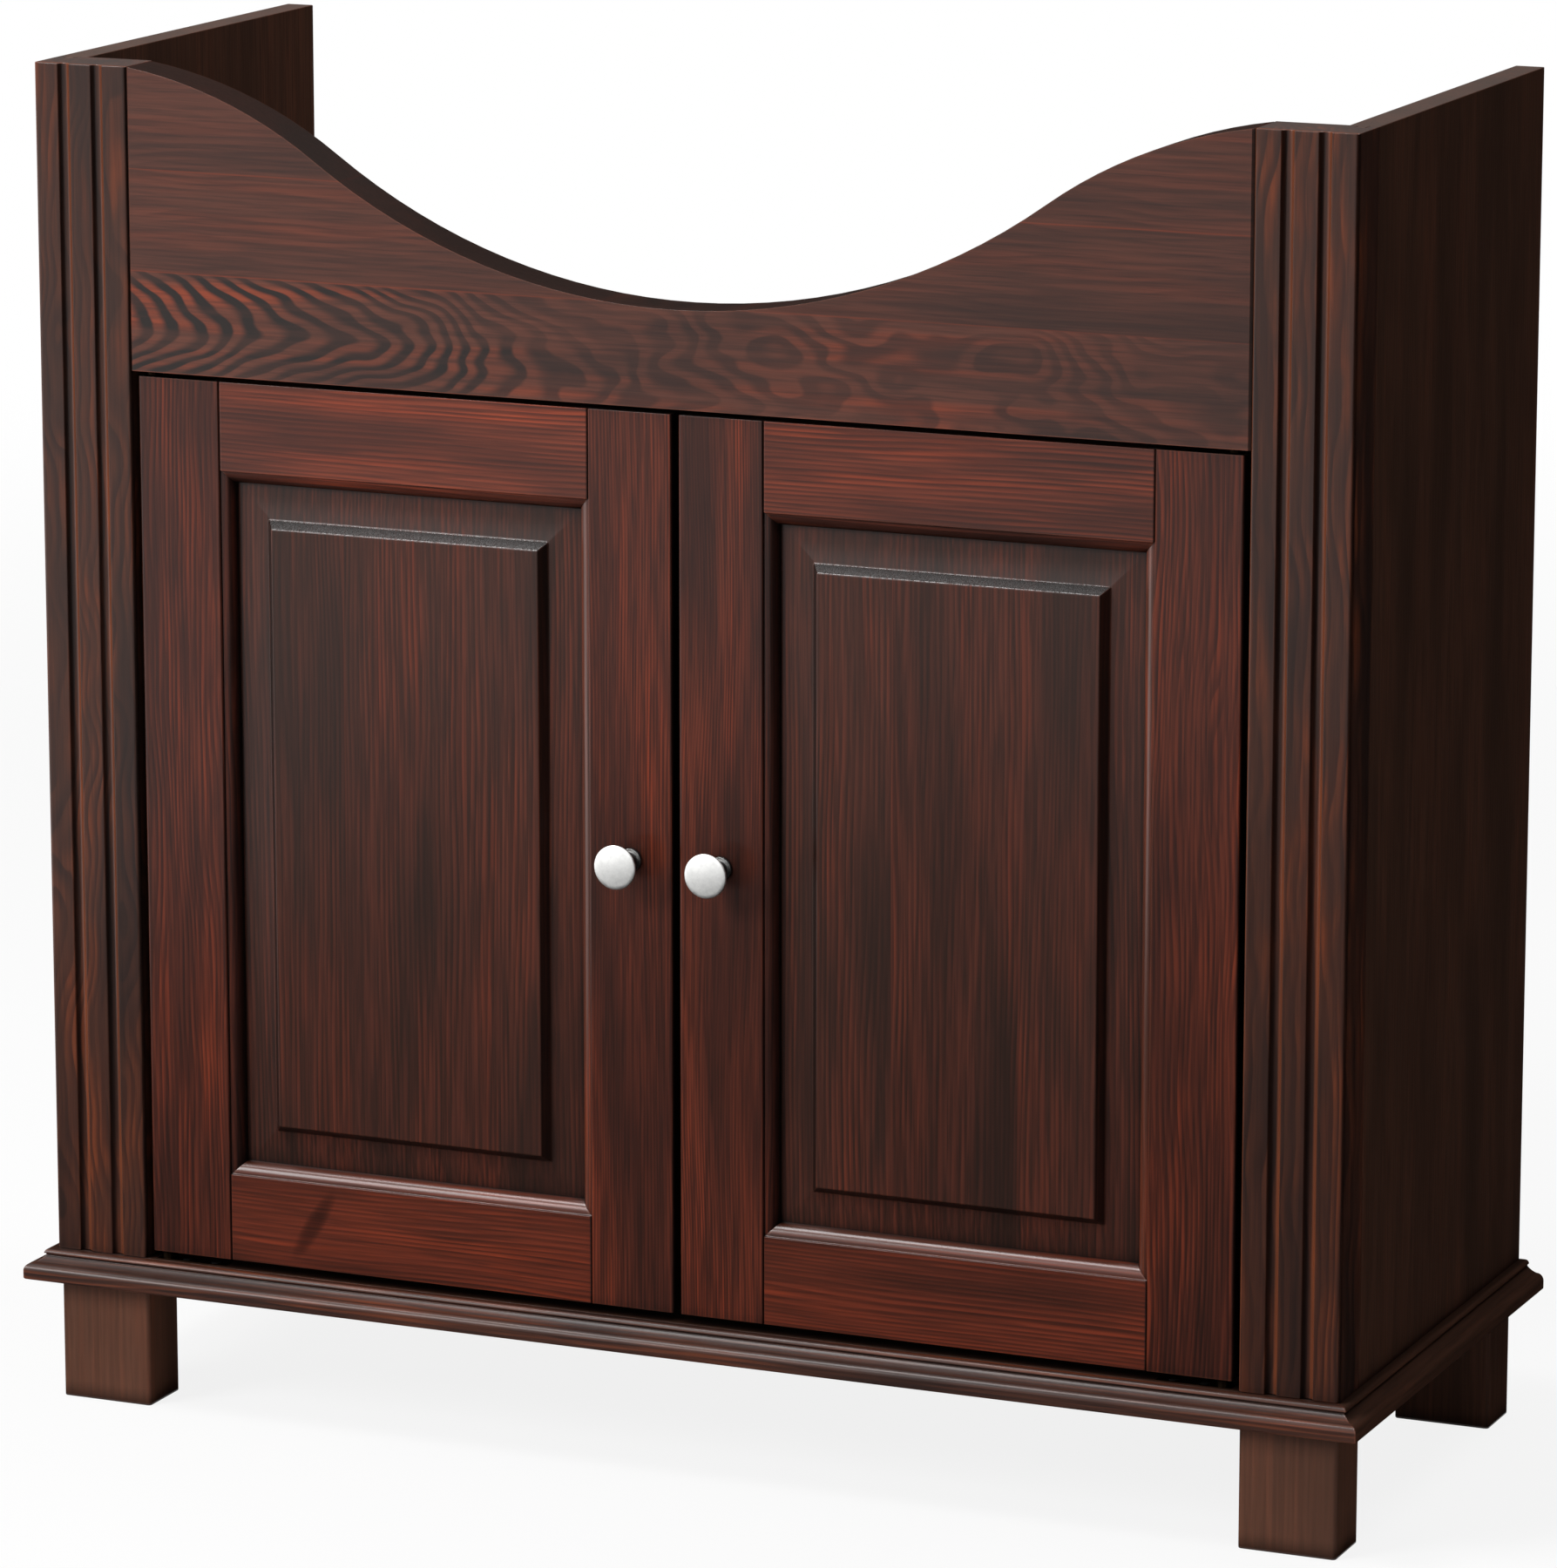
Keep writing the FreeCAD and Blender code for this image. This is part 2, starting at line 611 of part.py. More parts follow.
def apron():
    """Front board whose top edge dips in a bowl between two rounded shoulders."""
    corner = ("left_edge + pilaster_width", "front_face", "apron_bottom")
    body = new_body("apron", corner)
    sketch = new_sketch(body, "elevation", "XZ_Plane")
    length, height = value("apron_length"), value("apron_end_height")
    bowl, shoulder = value("apron_bowl_radius"), value("apron_shoulder_radius")
    middle = FreeCAD.Vector(length / 2, height - value("apron_dip") + bowl, 0)
    # The shoulder's centre lies one radius from the end of the board and both radii from the bowl's centre.
    reach = math.hypot(middle.x, middle.y - height)
    near_angle = math.acos((shoulder ** 2 + reach ** 2 - (shoulder + bowl) ** 2) / (2 * shoulder * reach))
    angle = math.atan2(middle.y - height, middle.x) - near_angle
    left = FreeCAD.Vector(shoulder * math.cos(angle), height + shoulder * math.sin(angle), 0)
    right = FreeCAD.Vector(length - left.x, left.y, 0)
    crest = math.atan2(-left.y + height, -left.x)
    bend = math.atan2(middle.y - left.y, middle.x - left.x)
    normal = FreeCAD.Vector(0, 0, 1)
    corners = [FreeCAD.Vector(x, y, 0) for x, y in ((0, height), (0, 0), (length, 0), (length, height))]
    left_end, bottom, right_end = [
        sketch.addGeometry(Part.LineSegment(start, end)) for start, end in zip(corners, corners[1:])
    ]
    curves = (
        (left, shoulder, bend, crest),
        (middle, bowl, bend + math.pi, 2 * math.pi - bend),
        (right, shoulder, math.pi - crest, math.pi - bend),
    )
    left_arc, bowl_arc, right_arc = [
        sketch.addGeometry(Part.ArcOfCircle(Part.Circle(centre, normal, radius), begin, end))
        for centre, radius, begin, end in curves
    ]
    joints = (
        (left_end, 2, bottom, 1),
        (bottom, 2, right_end, 1),
        (right_end, 2, right_arc, 1),
        (left_arc, 2, left_end, 1),
    )
    for joint in joints:
        sketch.addConstraint(Sketcher.Constraint("Coincident", *joint))
    sketch.addConstraint(Sketcher.Constraint("Tangent", left_arc, 1, bowl_arc, 1))
    sketch.addConstraint(Sketcher.Constraint("Tangent", bowl_arc, 2, right_arc, 2))
    sketch.addConstraint(Sketcher.Constraint("Equal", left_arc, right_arc))
    pin_down(sketch, bottom, 1, "0", "0")
    pin_down(sketch, bottom, 2, "apron_length", "0")
    pin_down(sketch, left_end, 1, "0", "apron_end_height")
    pin_down(sketch, right_end, 2, "apron_length", "apron_end_height")
    constrain(sketch, "Radius", (left_arc,), "apron_shoulder_radius")
    constrain(sketch, "Radius", (bowl_arc,), "apron_bowl_radius")
    constrain(sketch, "DistanceY", (-1, 1, bowl_arc, 3), "apron_end_height - apron_dip + apron_bowl_radius")
    pad(body, sketch, "apron_thickness", reverse=True)
    tenon = ("tenon_length", "tenon_thickness", "tenon_height")
    for x in ("-tenon_length", "apron_length"):
        block(body, "tenon", tenon, (x, "(apron_thickness - tenon_thickness) / 2", "tenon_shoulder"))
    leaf = ("leaf_length", "leaf_width", "leaf_thickness")
    from_end = "door_side_gap + leaf_inset"
    for x in (from_end, f"apron_length - ({from_end}) - leaf_length"):
        block(body, "leaf_seat", leaf, (x, "door_recess + leaf_from_face", "0"), cut=True)
    for x in leaf_screw_places():
        start = (f"{x} - left_edge - pilaster_width", "pivot_y - front_face", "leaf_thickness")
        bore(body, "pilot", "leaf_pilot", "leaf_screw_length", start, sides=SHANK_SIDES)
    for x in both_sides("-catch_screw_x"):
        start = (f"apron_length / 2 + ({x})", "apron_thickness", "catch_rise / 2")
        bore(body, "catch_pilot", "small_pilot", "small_screw_length", start, TO_FRONT, SHANK_SIDES)
    arris = [
        (f"-{OVERCUT}", f"-{OVERCUT}"),
        (f"apron_end_ease + {OVERCUT}", f"-{OVERCUT}"),
        (f"-{OVERCUT}", f"apron_end_ease + {OVERCUT}"),
    ]
    eased_ends = profile(body, "eased_ends", "XY_Plane", arris, flipped(arris, across="apron_length"))
    cut_through(body, eased_ends)
    return body


def back_rail(label, z):
    """Rail across the open back, bored at its ends."""
    corner = ("left_edge + side_thickness", "back_face - back_rail_thickness", z)
    body = new_body(label, corner)
    block(body, "board", ("rail_length", "back_rail_thickness", "back_rail_height"), ("0", "0", "0"))
    for x in ("0", "rail_length - dowel_in_end"):
        start = (x, "back_rail_thickness / 2", "back_rail_height / 2")
        bore(body, "dowel_bore", "dowel_hole", "dowel_in_end", start, TO_RIGHT, ROD_SIDES)
    return body


def pivot(label, z, collar_z, collar_length, pin_z, pin_length):
    """Hinge leaf of the carcass, with its collar and pin."""
    body = new_body(label, ("leaf_x", "leaf_y", z))
    block(body, "plate", ("leaf_length", "leaf_width", "leaf_thickness"), ("0", "0", "0"))
    collar_start = ("pin_in_leaf", "leaf_width / 2", collar_z)
    rod(body, "collar", "collar_diameter", collar_length, collar_start, sides=ROD_SIDES)
    rod(body, "pin", "pin_diameter", pin_length, ("pin_in_leaf", "leaf_width / 2", pin_z))
    drill_leaf(body)
    return body


def drill_leaf(body):
    """Holes for the two screws of a hinge leaf."""
    for x in ("leaf_screw_first", "leaf_screw_first + leaf_screw_pitch"):
        start = (x, "leaf_width / 2", "0")
        bore(body, "screw_hole", "leaf_screw_hole", "leaf_thickness", start, sides=SHANK_SIDES)


def door_leaf(label, z):
    """Hinge leaf of the door, which turns on the pin."""
    body = new_body(label, ("leaf_x", "leaf_y", z))
    block(body, "plate", ("leaf_length", "leaf_width", "leaf_thickness"), ("0", "0", "0"))
    bore(body, "eye", "pin_hole", "leaf_thickness", ("pin_in_leaf", "leaf_width / 2", "0"))
    drill_leaf(body)
    return body


def stile_plan():
    """Plan of a stile from its outer edge: flat, eased edge, quirk, ovolo and groove."""
    groove_bottom = "stile_width - groove_depth"
    return [
        ("door_round", "0"),
        ("stile_flat - joint_ease", "0"),
        ("stile_flat", "joint_ease"),
        ("stile_flat", "sticking_quirk", "sticking_width", 1),
        ("stile_width", "groove_front"),
        (groove_bottom, "groove_front"),
        (groove_bottom, "groove_back"),
        ("stile_width", "groove_back"),
        ("stile_width", "door_thickness"),
        ("0", "door_thickness"),
        ("0", "door_round", "door_round", 1),
    ]


def hinge_stile(label):
    """Outer stile, let in for both hinge leaves and bored for their pins."""
    body = new_body(label, ("door_left", "door_front", "door_bottom"))
    pad(body, profile(body, "plan", "XY_Plane", stile_plan()), "door_height")
    leaf = ("leaf_length", "leaf_width", "leaf_thickness")
    ends = (
        ("0", "0", "leaf_thickness"),
        (
            "door_height - leaf_thickness",
            "door_height - pin_bore_depth",
            "door_height - leaf_thickness - leaf_screw_length",
        ),
    )
    for seat_z, bore_z, pilot_z in ends:
        block(body, "leaf_seat", leaf, ("leaf_inset", "leaf_from_face", seat_z), cut=True)
        bore_start = ("pivot_edge", "pivot_face", bore_z)
        bore(body, "pin_bore", "pin_bore", "pin_bore_depth", bore_start, sides=ROD_SIDES)
        for x in ("leaf_screw_first", "leaf_screw_first + leaf_screw_pitch"):
            start = (f"leaf_inset + {x}", "pivot_face", pilot_z)
            bore(body, "pilot", "leaf_pilot", "leaf_screw_length", start, sides=SHANK_SIDES)
    return body


def meeting_stile(label):
    """Inner stile, bored for the knob and the screw of the strike."""
    corner = ("door_left + door_width - stile_width", "door_front", "door_bottom")
    body = new_body(label, corner)
    outline = flipped(stile_plan(), across="stile_width")
    pad(body, profile(body, "plan", "XY_Plane", outline), "door_height")
    to_stile = "door_width + stile_width"
    knob_start = (f"knob_x - {to_stile}", "door_thickness", "knob_z")
    bore(body, "knob_bore", "knob_hole", "door_thickness", knob_start, TO_FRONT, ROD_SIDES)
    strike_x = f"strike_x + strike_width / 2 - {to_stile}"
    strike_start = (strike_x, "door_thickness", "strike_z + strike_screw_rise")
    bore(body, "strike_pilot", "small_pilot", "small_screw_length", strike_start, TO_FRONT, SHANK_SIDES)
    return body


def rail_plan():
    """Plan of a rail, its ends coped over the stiles and tongued into their grooves."""
    left_end = [
        ("stile_width", "door_thickness"),
        ("stile_width", "groove_back"),
        ("rail_tip", "groove_back"),
        ("rail_tip", "groove_front"),
        ("stile_width", "groove_front", "sticking_width", -1),
        ("stile_flat", "sticking_quirk"),
        ("stile_flat", "joint_ease"),
        ("stile_flat + joint_ease", "0"),
    ]
    right_end = [corner[:2] for corner in flipped(left_end, across="door_width")]
    right_end.reverse()
    right_end[2] += ("sticking_width", -1)
    return left_end + right_end


def rail_waste():
    """Section that is cut from a rail's inner edge: what lies before the ovolo, and the groove."""
    above = f"rail_width + {OVERCUT}"
    groove_bottom = "rail_width - groove_depth"
    return [
        (f"-{OVERCUT}", "rail_flat"),
        ("sticking_quirk", "rail_flat", "sticking_width", -1),
        ("groove_front", "rail_width"),
        ("groove_front", groove_bottom),
        ("groove_back", groove_bottom),
        ("groove_back", above),
        (f"-{OVERCUT}", above),
    ]


def door_rail(label, z, waste):
    """Rail between the stiles, with the given section cut from its inner edge."""
    body = new_body(label, ("door_left", "door_front", z))
    pad(body, profile(body, "plan", "XY_Plane", rail_plan()), "rail_width")
    cut_through(body, profile(body, "waste", "YZ_Plane", waste))
    return body


def raised_panel(label):
    """Panel that stands in the grooves, with a sloping margin and a raised field."""
    body = new_body(label, ("door_left", "door_front", "door_bottom"))
    tongue = (
        "door_width - 2 * panel_left",
        "groove_width - panel_play",
        "door_height - 2 * panel_bottom - panel_room",
    )
    block(body, "tongue", tongue, ("panel_left", "groove_front", "panel_bottom"))
    edge = ("stile_width", "rail_width")
    margin = [f"{side} + panel_margin" for side in edge]
    field = [f"{side} + panel_shoulder" for side in margin]
    frustum(body, "margin", margin, edge, "margin_back", "groove_front")
    frustum(body, "field", field, margin, "panel_setback", "margin_back")
    return body


def knob(label):
    """Turned knob: a slim neck under a head with a bevelled face, threaded from behind."""
    corner = ("door_left + knob_x", "door_front", "door_bottom + knob_z")
    body = new_body(label, corner, TO_FRONT)
    rim = "knob_diameter / 2"
    rim_top = "knob_reach - knob_dome"
    neck = "knob_neck_diameter / 2"
    outline = [
        ("0", "0"),
        ("knob_foot_diameter / 2", "0"),
        ("knob_foot_diameter / 2", "knob_foot_height"),
        (neck, "knob_foot_height"),
        (neck, "knob_neck_height"),
        ("knob_back_diameter / 2", "knob_neck_height"),
        (rim, f"{rim_top} - knob_rim_height"),
        (rim, rim_top),
        ("knob_face_diameter / 2", "knob_reach"),
        ("0", "knob_reach"),
    ]
    turned = body.newObject("PartDesign::Revolution", "turned")
    turned.Profile = profile(body, "half_section", "XZ_Plane", outline)
    turned.ReferenceAxis = (turned.Profile[0], ["V_Axis"])
    bore(body, "thread", "knob_thread", "knob_thread_depth", ("0", "0", "0"), sides=ROD_SIDES)
    return body


def knob_screw(label):
    """Screw through the stile into the knob."""
    seat = ("door_left + knob_x", "door_front + door_thickness", "door_bottom + knob_z")
    tip = (seat[0], "door_front - knob_thread_depth + fit_gap", seat[2])
    body = new_body(label, tip, TO_FRONT.inverted())
    shank = "knob_thread - 2 * screw_play"
    grip = "door_thickness + knob_thread_depth - fit_gap"
    rod(body, "shank", shank, grip, ("0", "0", "0"), sides=ROD_SIDES)
    rod(body, "head", "knob_screw_head", "knob_screw_head_height", ("0", "0", grip), sides=ROD_SIDES)
    return body


def strike(label):
    """Steel plate on the back of the door."""
    corner = ("door_left + strike_x", "door_front + door_thickness", "door_bottom + strike_z")
    body = new_body(label, corner)
    block(body, "plate", ("strike_width", "strike_thickness", "strike_length"), ("0", "0", "0"))
    start = ("strike_width / 2", "strike_thickness", "strike_screw_rise")
    bore(body, "screw_hole", "small_pilot", "strike_thickness", start, TO_FRONT, SHANK_SIDES)
    return body


def strike_screw(label):
    """Screw of the strike plate."""
    seat = (
        "door_left + strike_x + strike_width / 2",
        "door_front + door_thickness + strike_thickness",
        "door_bottom + strike_z + strike_screw_rise",
    )
    turn = TO_FRONT.inverted()
    head = ("small_screw_head", "small_screw_head_height")
    pair = screw(*head, "small_screw_shank", "small_screw_length", seat, turn, ROD_SIDES)
    pair.Label = label
    return pair


def catch_housing():
    """Housing of the double magnetic catch, on the back of the apron."""
    body = new_body("catch_housing", ("0", "front_face + apron_thickness", "apron_bottom"))
    block(
        body,
        "case",
        ("catch_width", "catch_depth", "catch_drop + catch_rise"),
        ("-catch_width / 2", "0", "-catch_drop"),
    )
    block(
        body,
        "nose",
        ("catch_width", "catch_nose", "catch_drop - catch_air"),
        ("-catch_width / 2", "-catch_nose", "-catch_drop"),
    )
    for x in ("magnet_x", "-magnet_x - magnet_width"):
        magnet = ("magnet_width", "magnet_depth", "magnet_height")
        block(body, "magnet_seat", magnet, (x, "-catch_nose", "magnet_z"), cut=True)
    for x in both_sides("-catch_screw_x"):
        start = (x, "catch_depth", "catch_rise / 2")
        bore(body, "screw_hole", "small_pilot", "catch_depth", start, TO_FRONT, SHANK_SIDES)
    return body


def catch_magnets():
    """The two magnets, flush with the front of the housing."""
    pieces = []
    for x in ("magnet_x", "-magnet_x - magnet_width"):
        magnet = doc.addObject("Part::Box", "magnet")
        bind(magnet, {"Length": "magnet_width", "Width": "magnet_depth", "Height": "magnet_height"})
        place(magnet, (x, "front_face + apron_thickness - catch_nose", "apron_bottom + magnet_z"))
        pieces.append(magnet)
    return group("catch_magnets", pieces)


def catch_screws():
    """Screws that hold the catch to the apron."""
    turn = TO_FRONT.inverted()
    y = "front_face + apron_thickness + catch_depth"
    z = "apron_bottom + catch_rise / 2"
    head = ("small_screw_head", "small_screw_head_height")
    shank = ("small_screw_shank", "catch_depth + small_screw_length - fit_gap")
    places = [(x, y, z) for x in both_sides("-catch_screw_x")]
    return group("catch_screws", [screw(*head, *shank, seat, turn, ROD_SIDES) for seat in places])


def leaf_screws(label, places, upper_seat, lower_seat, inward):
    """Screws of upper and lower hinge leaves: inward ones run from the gap into the door."""
    downward = FreeCAD.Rotation(FreeCAD.Vector(1, 0, 0), 180)
    upper_turn, lower_turn = (UPWARD, downward) if inward else (downward, UPWARD)
    pieces = []
    for x in places:
        for z, turn in ((upper_seat, upper_turn), (lower_seat, lower_turn)):
            seat = (x, "pivot_y", z)
            head = ("leaf_screw_head", "leaf_thickness")
            pieces.append(screw(*head, "leaf_screw_shank", "leaf_screw_length - fit_gap", seat, turn))
    return group(label, pieces)


def foot_dowels():
    """Dowels between the feet and the base board."""
    pieces = []
    for x in both_sides("foot_centre_x"):
        for y in ("front_foot_y + foot_depth / 2", "rear_foot_y + foot_depth / 2"):
            start = (x, y, "foot_height - foot_dowel_in_foot")
            pieces.append(peg("foot_dowel_diameter", "foot_dowel_in_foot + foot_dowel_in_base", start))
    return group("foot_dowels", pieces)


def carcass_dowels():
    """Dowels under the posts and sides, and at the ends of the back rails."""
    length = "dowel_in_board + dowel_in_end"
    starts = [(x, y, "base_top - dowel_in_board") for x, y in upright_dowels()]
    pieces = [peg("dowel_diameter", length, start) for start in starts]
    for x, y, z in level_dowels():
        for start_x in (x, f"-({x}) - ({length})"):
            pieces.append(peg("dowel_diameter", length, (start_x, y, z), TO_RIGHT))
    return group("carcass_dowels", pieces)


def carcass():
    """Everything that stands still."""
    lower_reach = "door_bottom_gap + leaf_thickness + pin_reach"
    upper_reach = "door_top_gap + leaf_thickness + pin_reach"
    left_parts = [
        foot("left_front_foot", "front_foot_y"),
        foot("left_rear_foot", "rear_foot_y"),
        left_moulding(),
        left_pilaster(),
        left_side_panel(),
        pivot(
            "left_lower_pivot",
            "base_top - leaf_thickness",
            "leaf_thickness",
            "door_bottom_gap - hinge_play",
            "leaf_thickness",
            lower_reach,
        ),
        pivot(
            "left_upper_pivot",
            "apron_bottom",
            "hinge_play - door_top_gap",
            "door_top_gap - hinge_play",
            f"-({upper_reach})",
            upper_reach,
        ),
    ]
    screw_seats = ("apron_bottom + leaf_thickness", "base_top - leaf_thickness")
    single_parts = [
        base_panel(),
        front_moulding(),
        apron(),
        back_rail("upper_back_rail", "upper_rail_top - back_rail_height"),
        back_rail("lower_back_rail", "base_top"),
        foot_dowels(),
        carcass_dowels(),
        leaf_screws("pivot_screws", leaf_screw_places(), *screw_seats, inward=False),
        catch_housing(),
        catch_magnets(),
        catch_screws(),
    ]
    right_parts = [mirrored(part, part.Label.replace("left", "right")) for part in left_parts]
    return left_parts + single_parts + right_parts


def doors():
    """Both doors, the right one a mirror image of the left."""
    screw_places = leaf_screw_places()[::2]
    screw_seats = ("door_top - leaf_thickness", "door_bottom + leaf_thickness")
    left_parts = [
        hinge_stile("left_door_hinge_stile"),
        meeting_stile("left_door_meeting_stile"),
        door_rail("left_door_bottom_rail", "door_bottom", rail_waste()),
        door_rail("left_door_top_rail", "door_top - rail_width", flipped(rail_waste(), up="rail_width")),
        raised_panel("left_door_panel"),
        knob("left_door_knob"),
        knob_screw("left_door_knob_screw"),
        door_leaf("left_door_lower_leaf", "door_bottom"),
        door_leaf("left_door_upper_leaf", "door_top - leaf_thickness"),
        leaf_screws("left_door_leaf_screws", screw_places, *screw_seats, inward=True),
        strike("left_door_strike"),
        strike_screw("left_door_strike_screw"),
    ]
    return left_parts + [mirrored(part, part.Label.replace("left", "right")) for part in left_parts]


def check(parts):
    """Stop if a feature failed, a cut removed nothing or a shape is not sound."""
    for item in doc.Objects:
        if any(state in item.State for state in ("Invalid", "Error")):
            raise RuntimeError(f"{item.Label} failed: {item.State}")
        before = getattr(item, "BaseFeature", None)
        is_cut = "Subtractive" in item.TypeId or item.TypeId == "PartDesign::Pocket"
        if is_cut and item.Shape.Volume >= before.Shape.Volume:
            raise RuntimeError(f"{item.Label} of {before.Label} cuts nothing")
    for part in parts:
        if part.Shape.isNull() or not part.Shape.isValid() or not part.Shape.Solids:
            raise RuntimeError(f"{part.Label} has no sound shape")


parts = carcass() + doors()
doc.recompute()
check(parts)
os.makedirs("parts", exist_ok=True)
for part in parts:
    part.Shape.exportStep(f"parts/{part.Label}.step")
print(f"{len(parts)} sub-parts written")
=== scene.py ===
import logging
import math
from dataclasses import dataclass
from enum import Enum
from functools import partial
from typing import Any, Callable, Iterable

import bmesh
import bpy
from bpy.types import Material, Object
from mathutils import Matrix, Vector

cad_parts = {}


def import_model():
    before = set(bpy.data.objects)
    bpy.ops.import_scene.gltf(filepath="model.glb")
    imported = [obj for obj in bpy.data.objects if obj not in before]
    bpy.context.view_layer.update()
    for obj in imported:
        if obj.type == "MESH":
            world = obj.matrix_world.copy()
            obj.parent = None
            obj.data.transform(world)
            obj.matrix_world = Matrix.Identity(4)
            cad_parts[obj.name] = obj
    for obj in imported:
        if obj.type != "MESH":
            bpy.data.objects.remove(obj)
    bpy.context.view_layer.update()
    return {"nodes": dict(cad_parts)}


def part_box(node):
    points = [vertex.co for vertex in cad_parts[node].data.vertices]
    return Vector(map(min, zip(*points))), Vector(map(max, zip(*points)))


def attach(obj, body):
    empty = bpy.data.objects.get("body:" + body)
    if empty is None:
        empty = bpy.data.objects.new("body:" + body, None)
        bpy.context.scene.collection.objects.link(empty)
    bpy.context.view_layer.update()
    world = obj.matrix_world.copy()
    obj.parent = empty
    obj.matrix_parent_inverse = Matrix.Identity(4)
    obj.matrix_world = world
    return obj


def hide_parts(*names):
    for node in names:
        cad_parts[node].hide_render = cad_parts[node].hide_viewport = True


# Finishes, turned pieces and studio of a stained pine washbasin cabinet.
# Metres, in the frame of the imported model: X along the front, Y towards the back, Z up.

LOG = logging.getLogger("washbasin_cabinet")
MM = 0.001  # One millimetre

Colour = tuple[float, float, float, float]
Triple = tuple[float, float, float]
Section = list[tuple[float, float]]
Sink = Callable[[float, float], float]
Inputs = dict[str | int, Any]


def paint(red: int, green: int, blue: int) -> Colour:
    """Turn a colour as a screen shows it into the linear one that shaders use.

    Args:
        red: Red from 0 to 255.
        green: Green from 0 to 255.
        blue: Blue from 0 to 255.

    Returns:
        Linear red, green and blue with an alpha of 1.
    """

    def linear(level: int) -> float:
        """Undo the sRGB curve of the screen for one channel."""
        share = level / 255
        return share / 12.92 if share <= 0.04045 else ((share + 0.055) / 1.055) ** 2.4

    return (linear(red), linear(green), linear(blue), 1.0)


def show(name: str, data: bpy.types.ID) -> Object:
    """Put a mesh, a lamp or a camera into the scene as an object.

    Args:
        name: Name of the object.
        data: What it shows.

    Returns:
        The object.
    """
    shown = bpy.data.objects.new(name, data)
    bpy.context.scene.collection.objects.link(shown)
    return shown


def math_method(operation: str) -> Callable[..., "Signal"]:
    """Make a method of a signal from one operation of the Math node.

    Args:
        operation: Name of the operation.

    Returns:
        The method.
    """

    def method(self: "Signal", *others: "Term") -> "Signal":
        """Apply the operation to this signal and the other terms in order."""
        terms = dict(enumerate((self, *others)))
        return self.sheet.add("ShaderNodeMath", {"operation": operation}, terms)

    return method


class Signal:
    """A number on its way through a node tree, on which arithmetic adds Math nodes.

    A colour, a vector or a shader is carried too, but only handed on to another node.
    """

    def __init__(self, sheet: "NodeSheet", socket: bpy.types.NodeSocket) -> None:
        """Wrap an output socket of a node tree."""
        self.sheet = sheet
        self.socket = socket

    def also(self, output: str) -> "Signal":
        """Another output of the same node."""
        return Signal(self.sheet, self.socket.node.outputs[output])

    __add__ = math_method("ADD")
    __sub__ = math_method("SUBTRACT")
    __mul__ = math_method("MULTIPLY")
    __truediv__ = math_method("DIVIDE")
    __lt__ = math_method("LESS_THAN")
    __abs__ = math_method("ABSOLUTE")
    floor = math_method("FLOOR")
    fraction = math_method("FRACT")

    def __rsub__(self, other: float) -> "Signal":
        """Difference from a plain number."""
        return self.sheet.add("ShaderNodeMath", {"operation": "SUBTRACT"}, {0: other, 1: self})

    def rise(self, low: float, high: float) -> "Signal":
        """Step smoothly from 0 to 1.

        Args:
            low: Value up to which the step is 0.
            high: Value from which it is 1.

        Returns:
            The step.
        """
        settings = {"interpolation_type": "SMOOTHSTEP"}
        inputs = {"Value": self, "From Min": low, "From Max": high}
        return self.sheet.add("ShaderNodeMapRange", settings, inputs)


Term = Signal | float
Hue = Signal | Colour


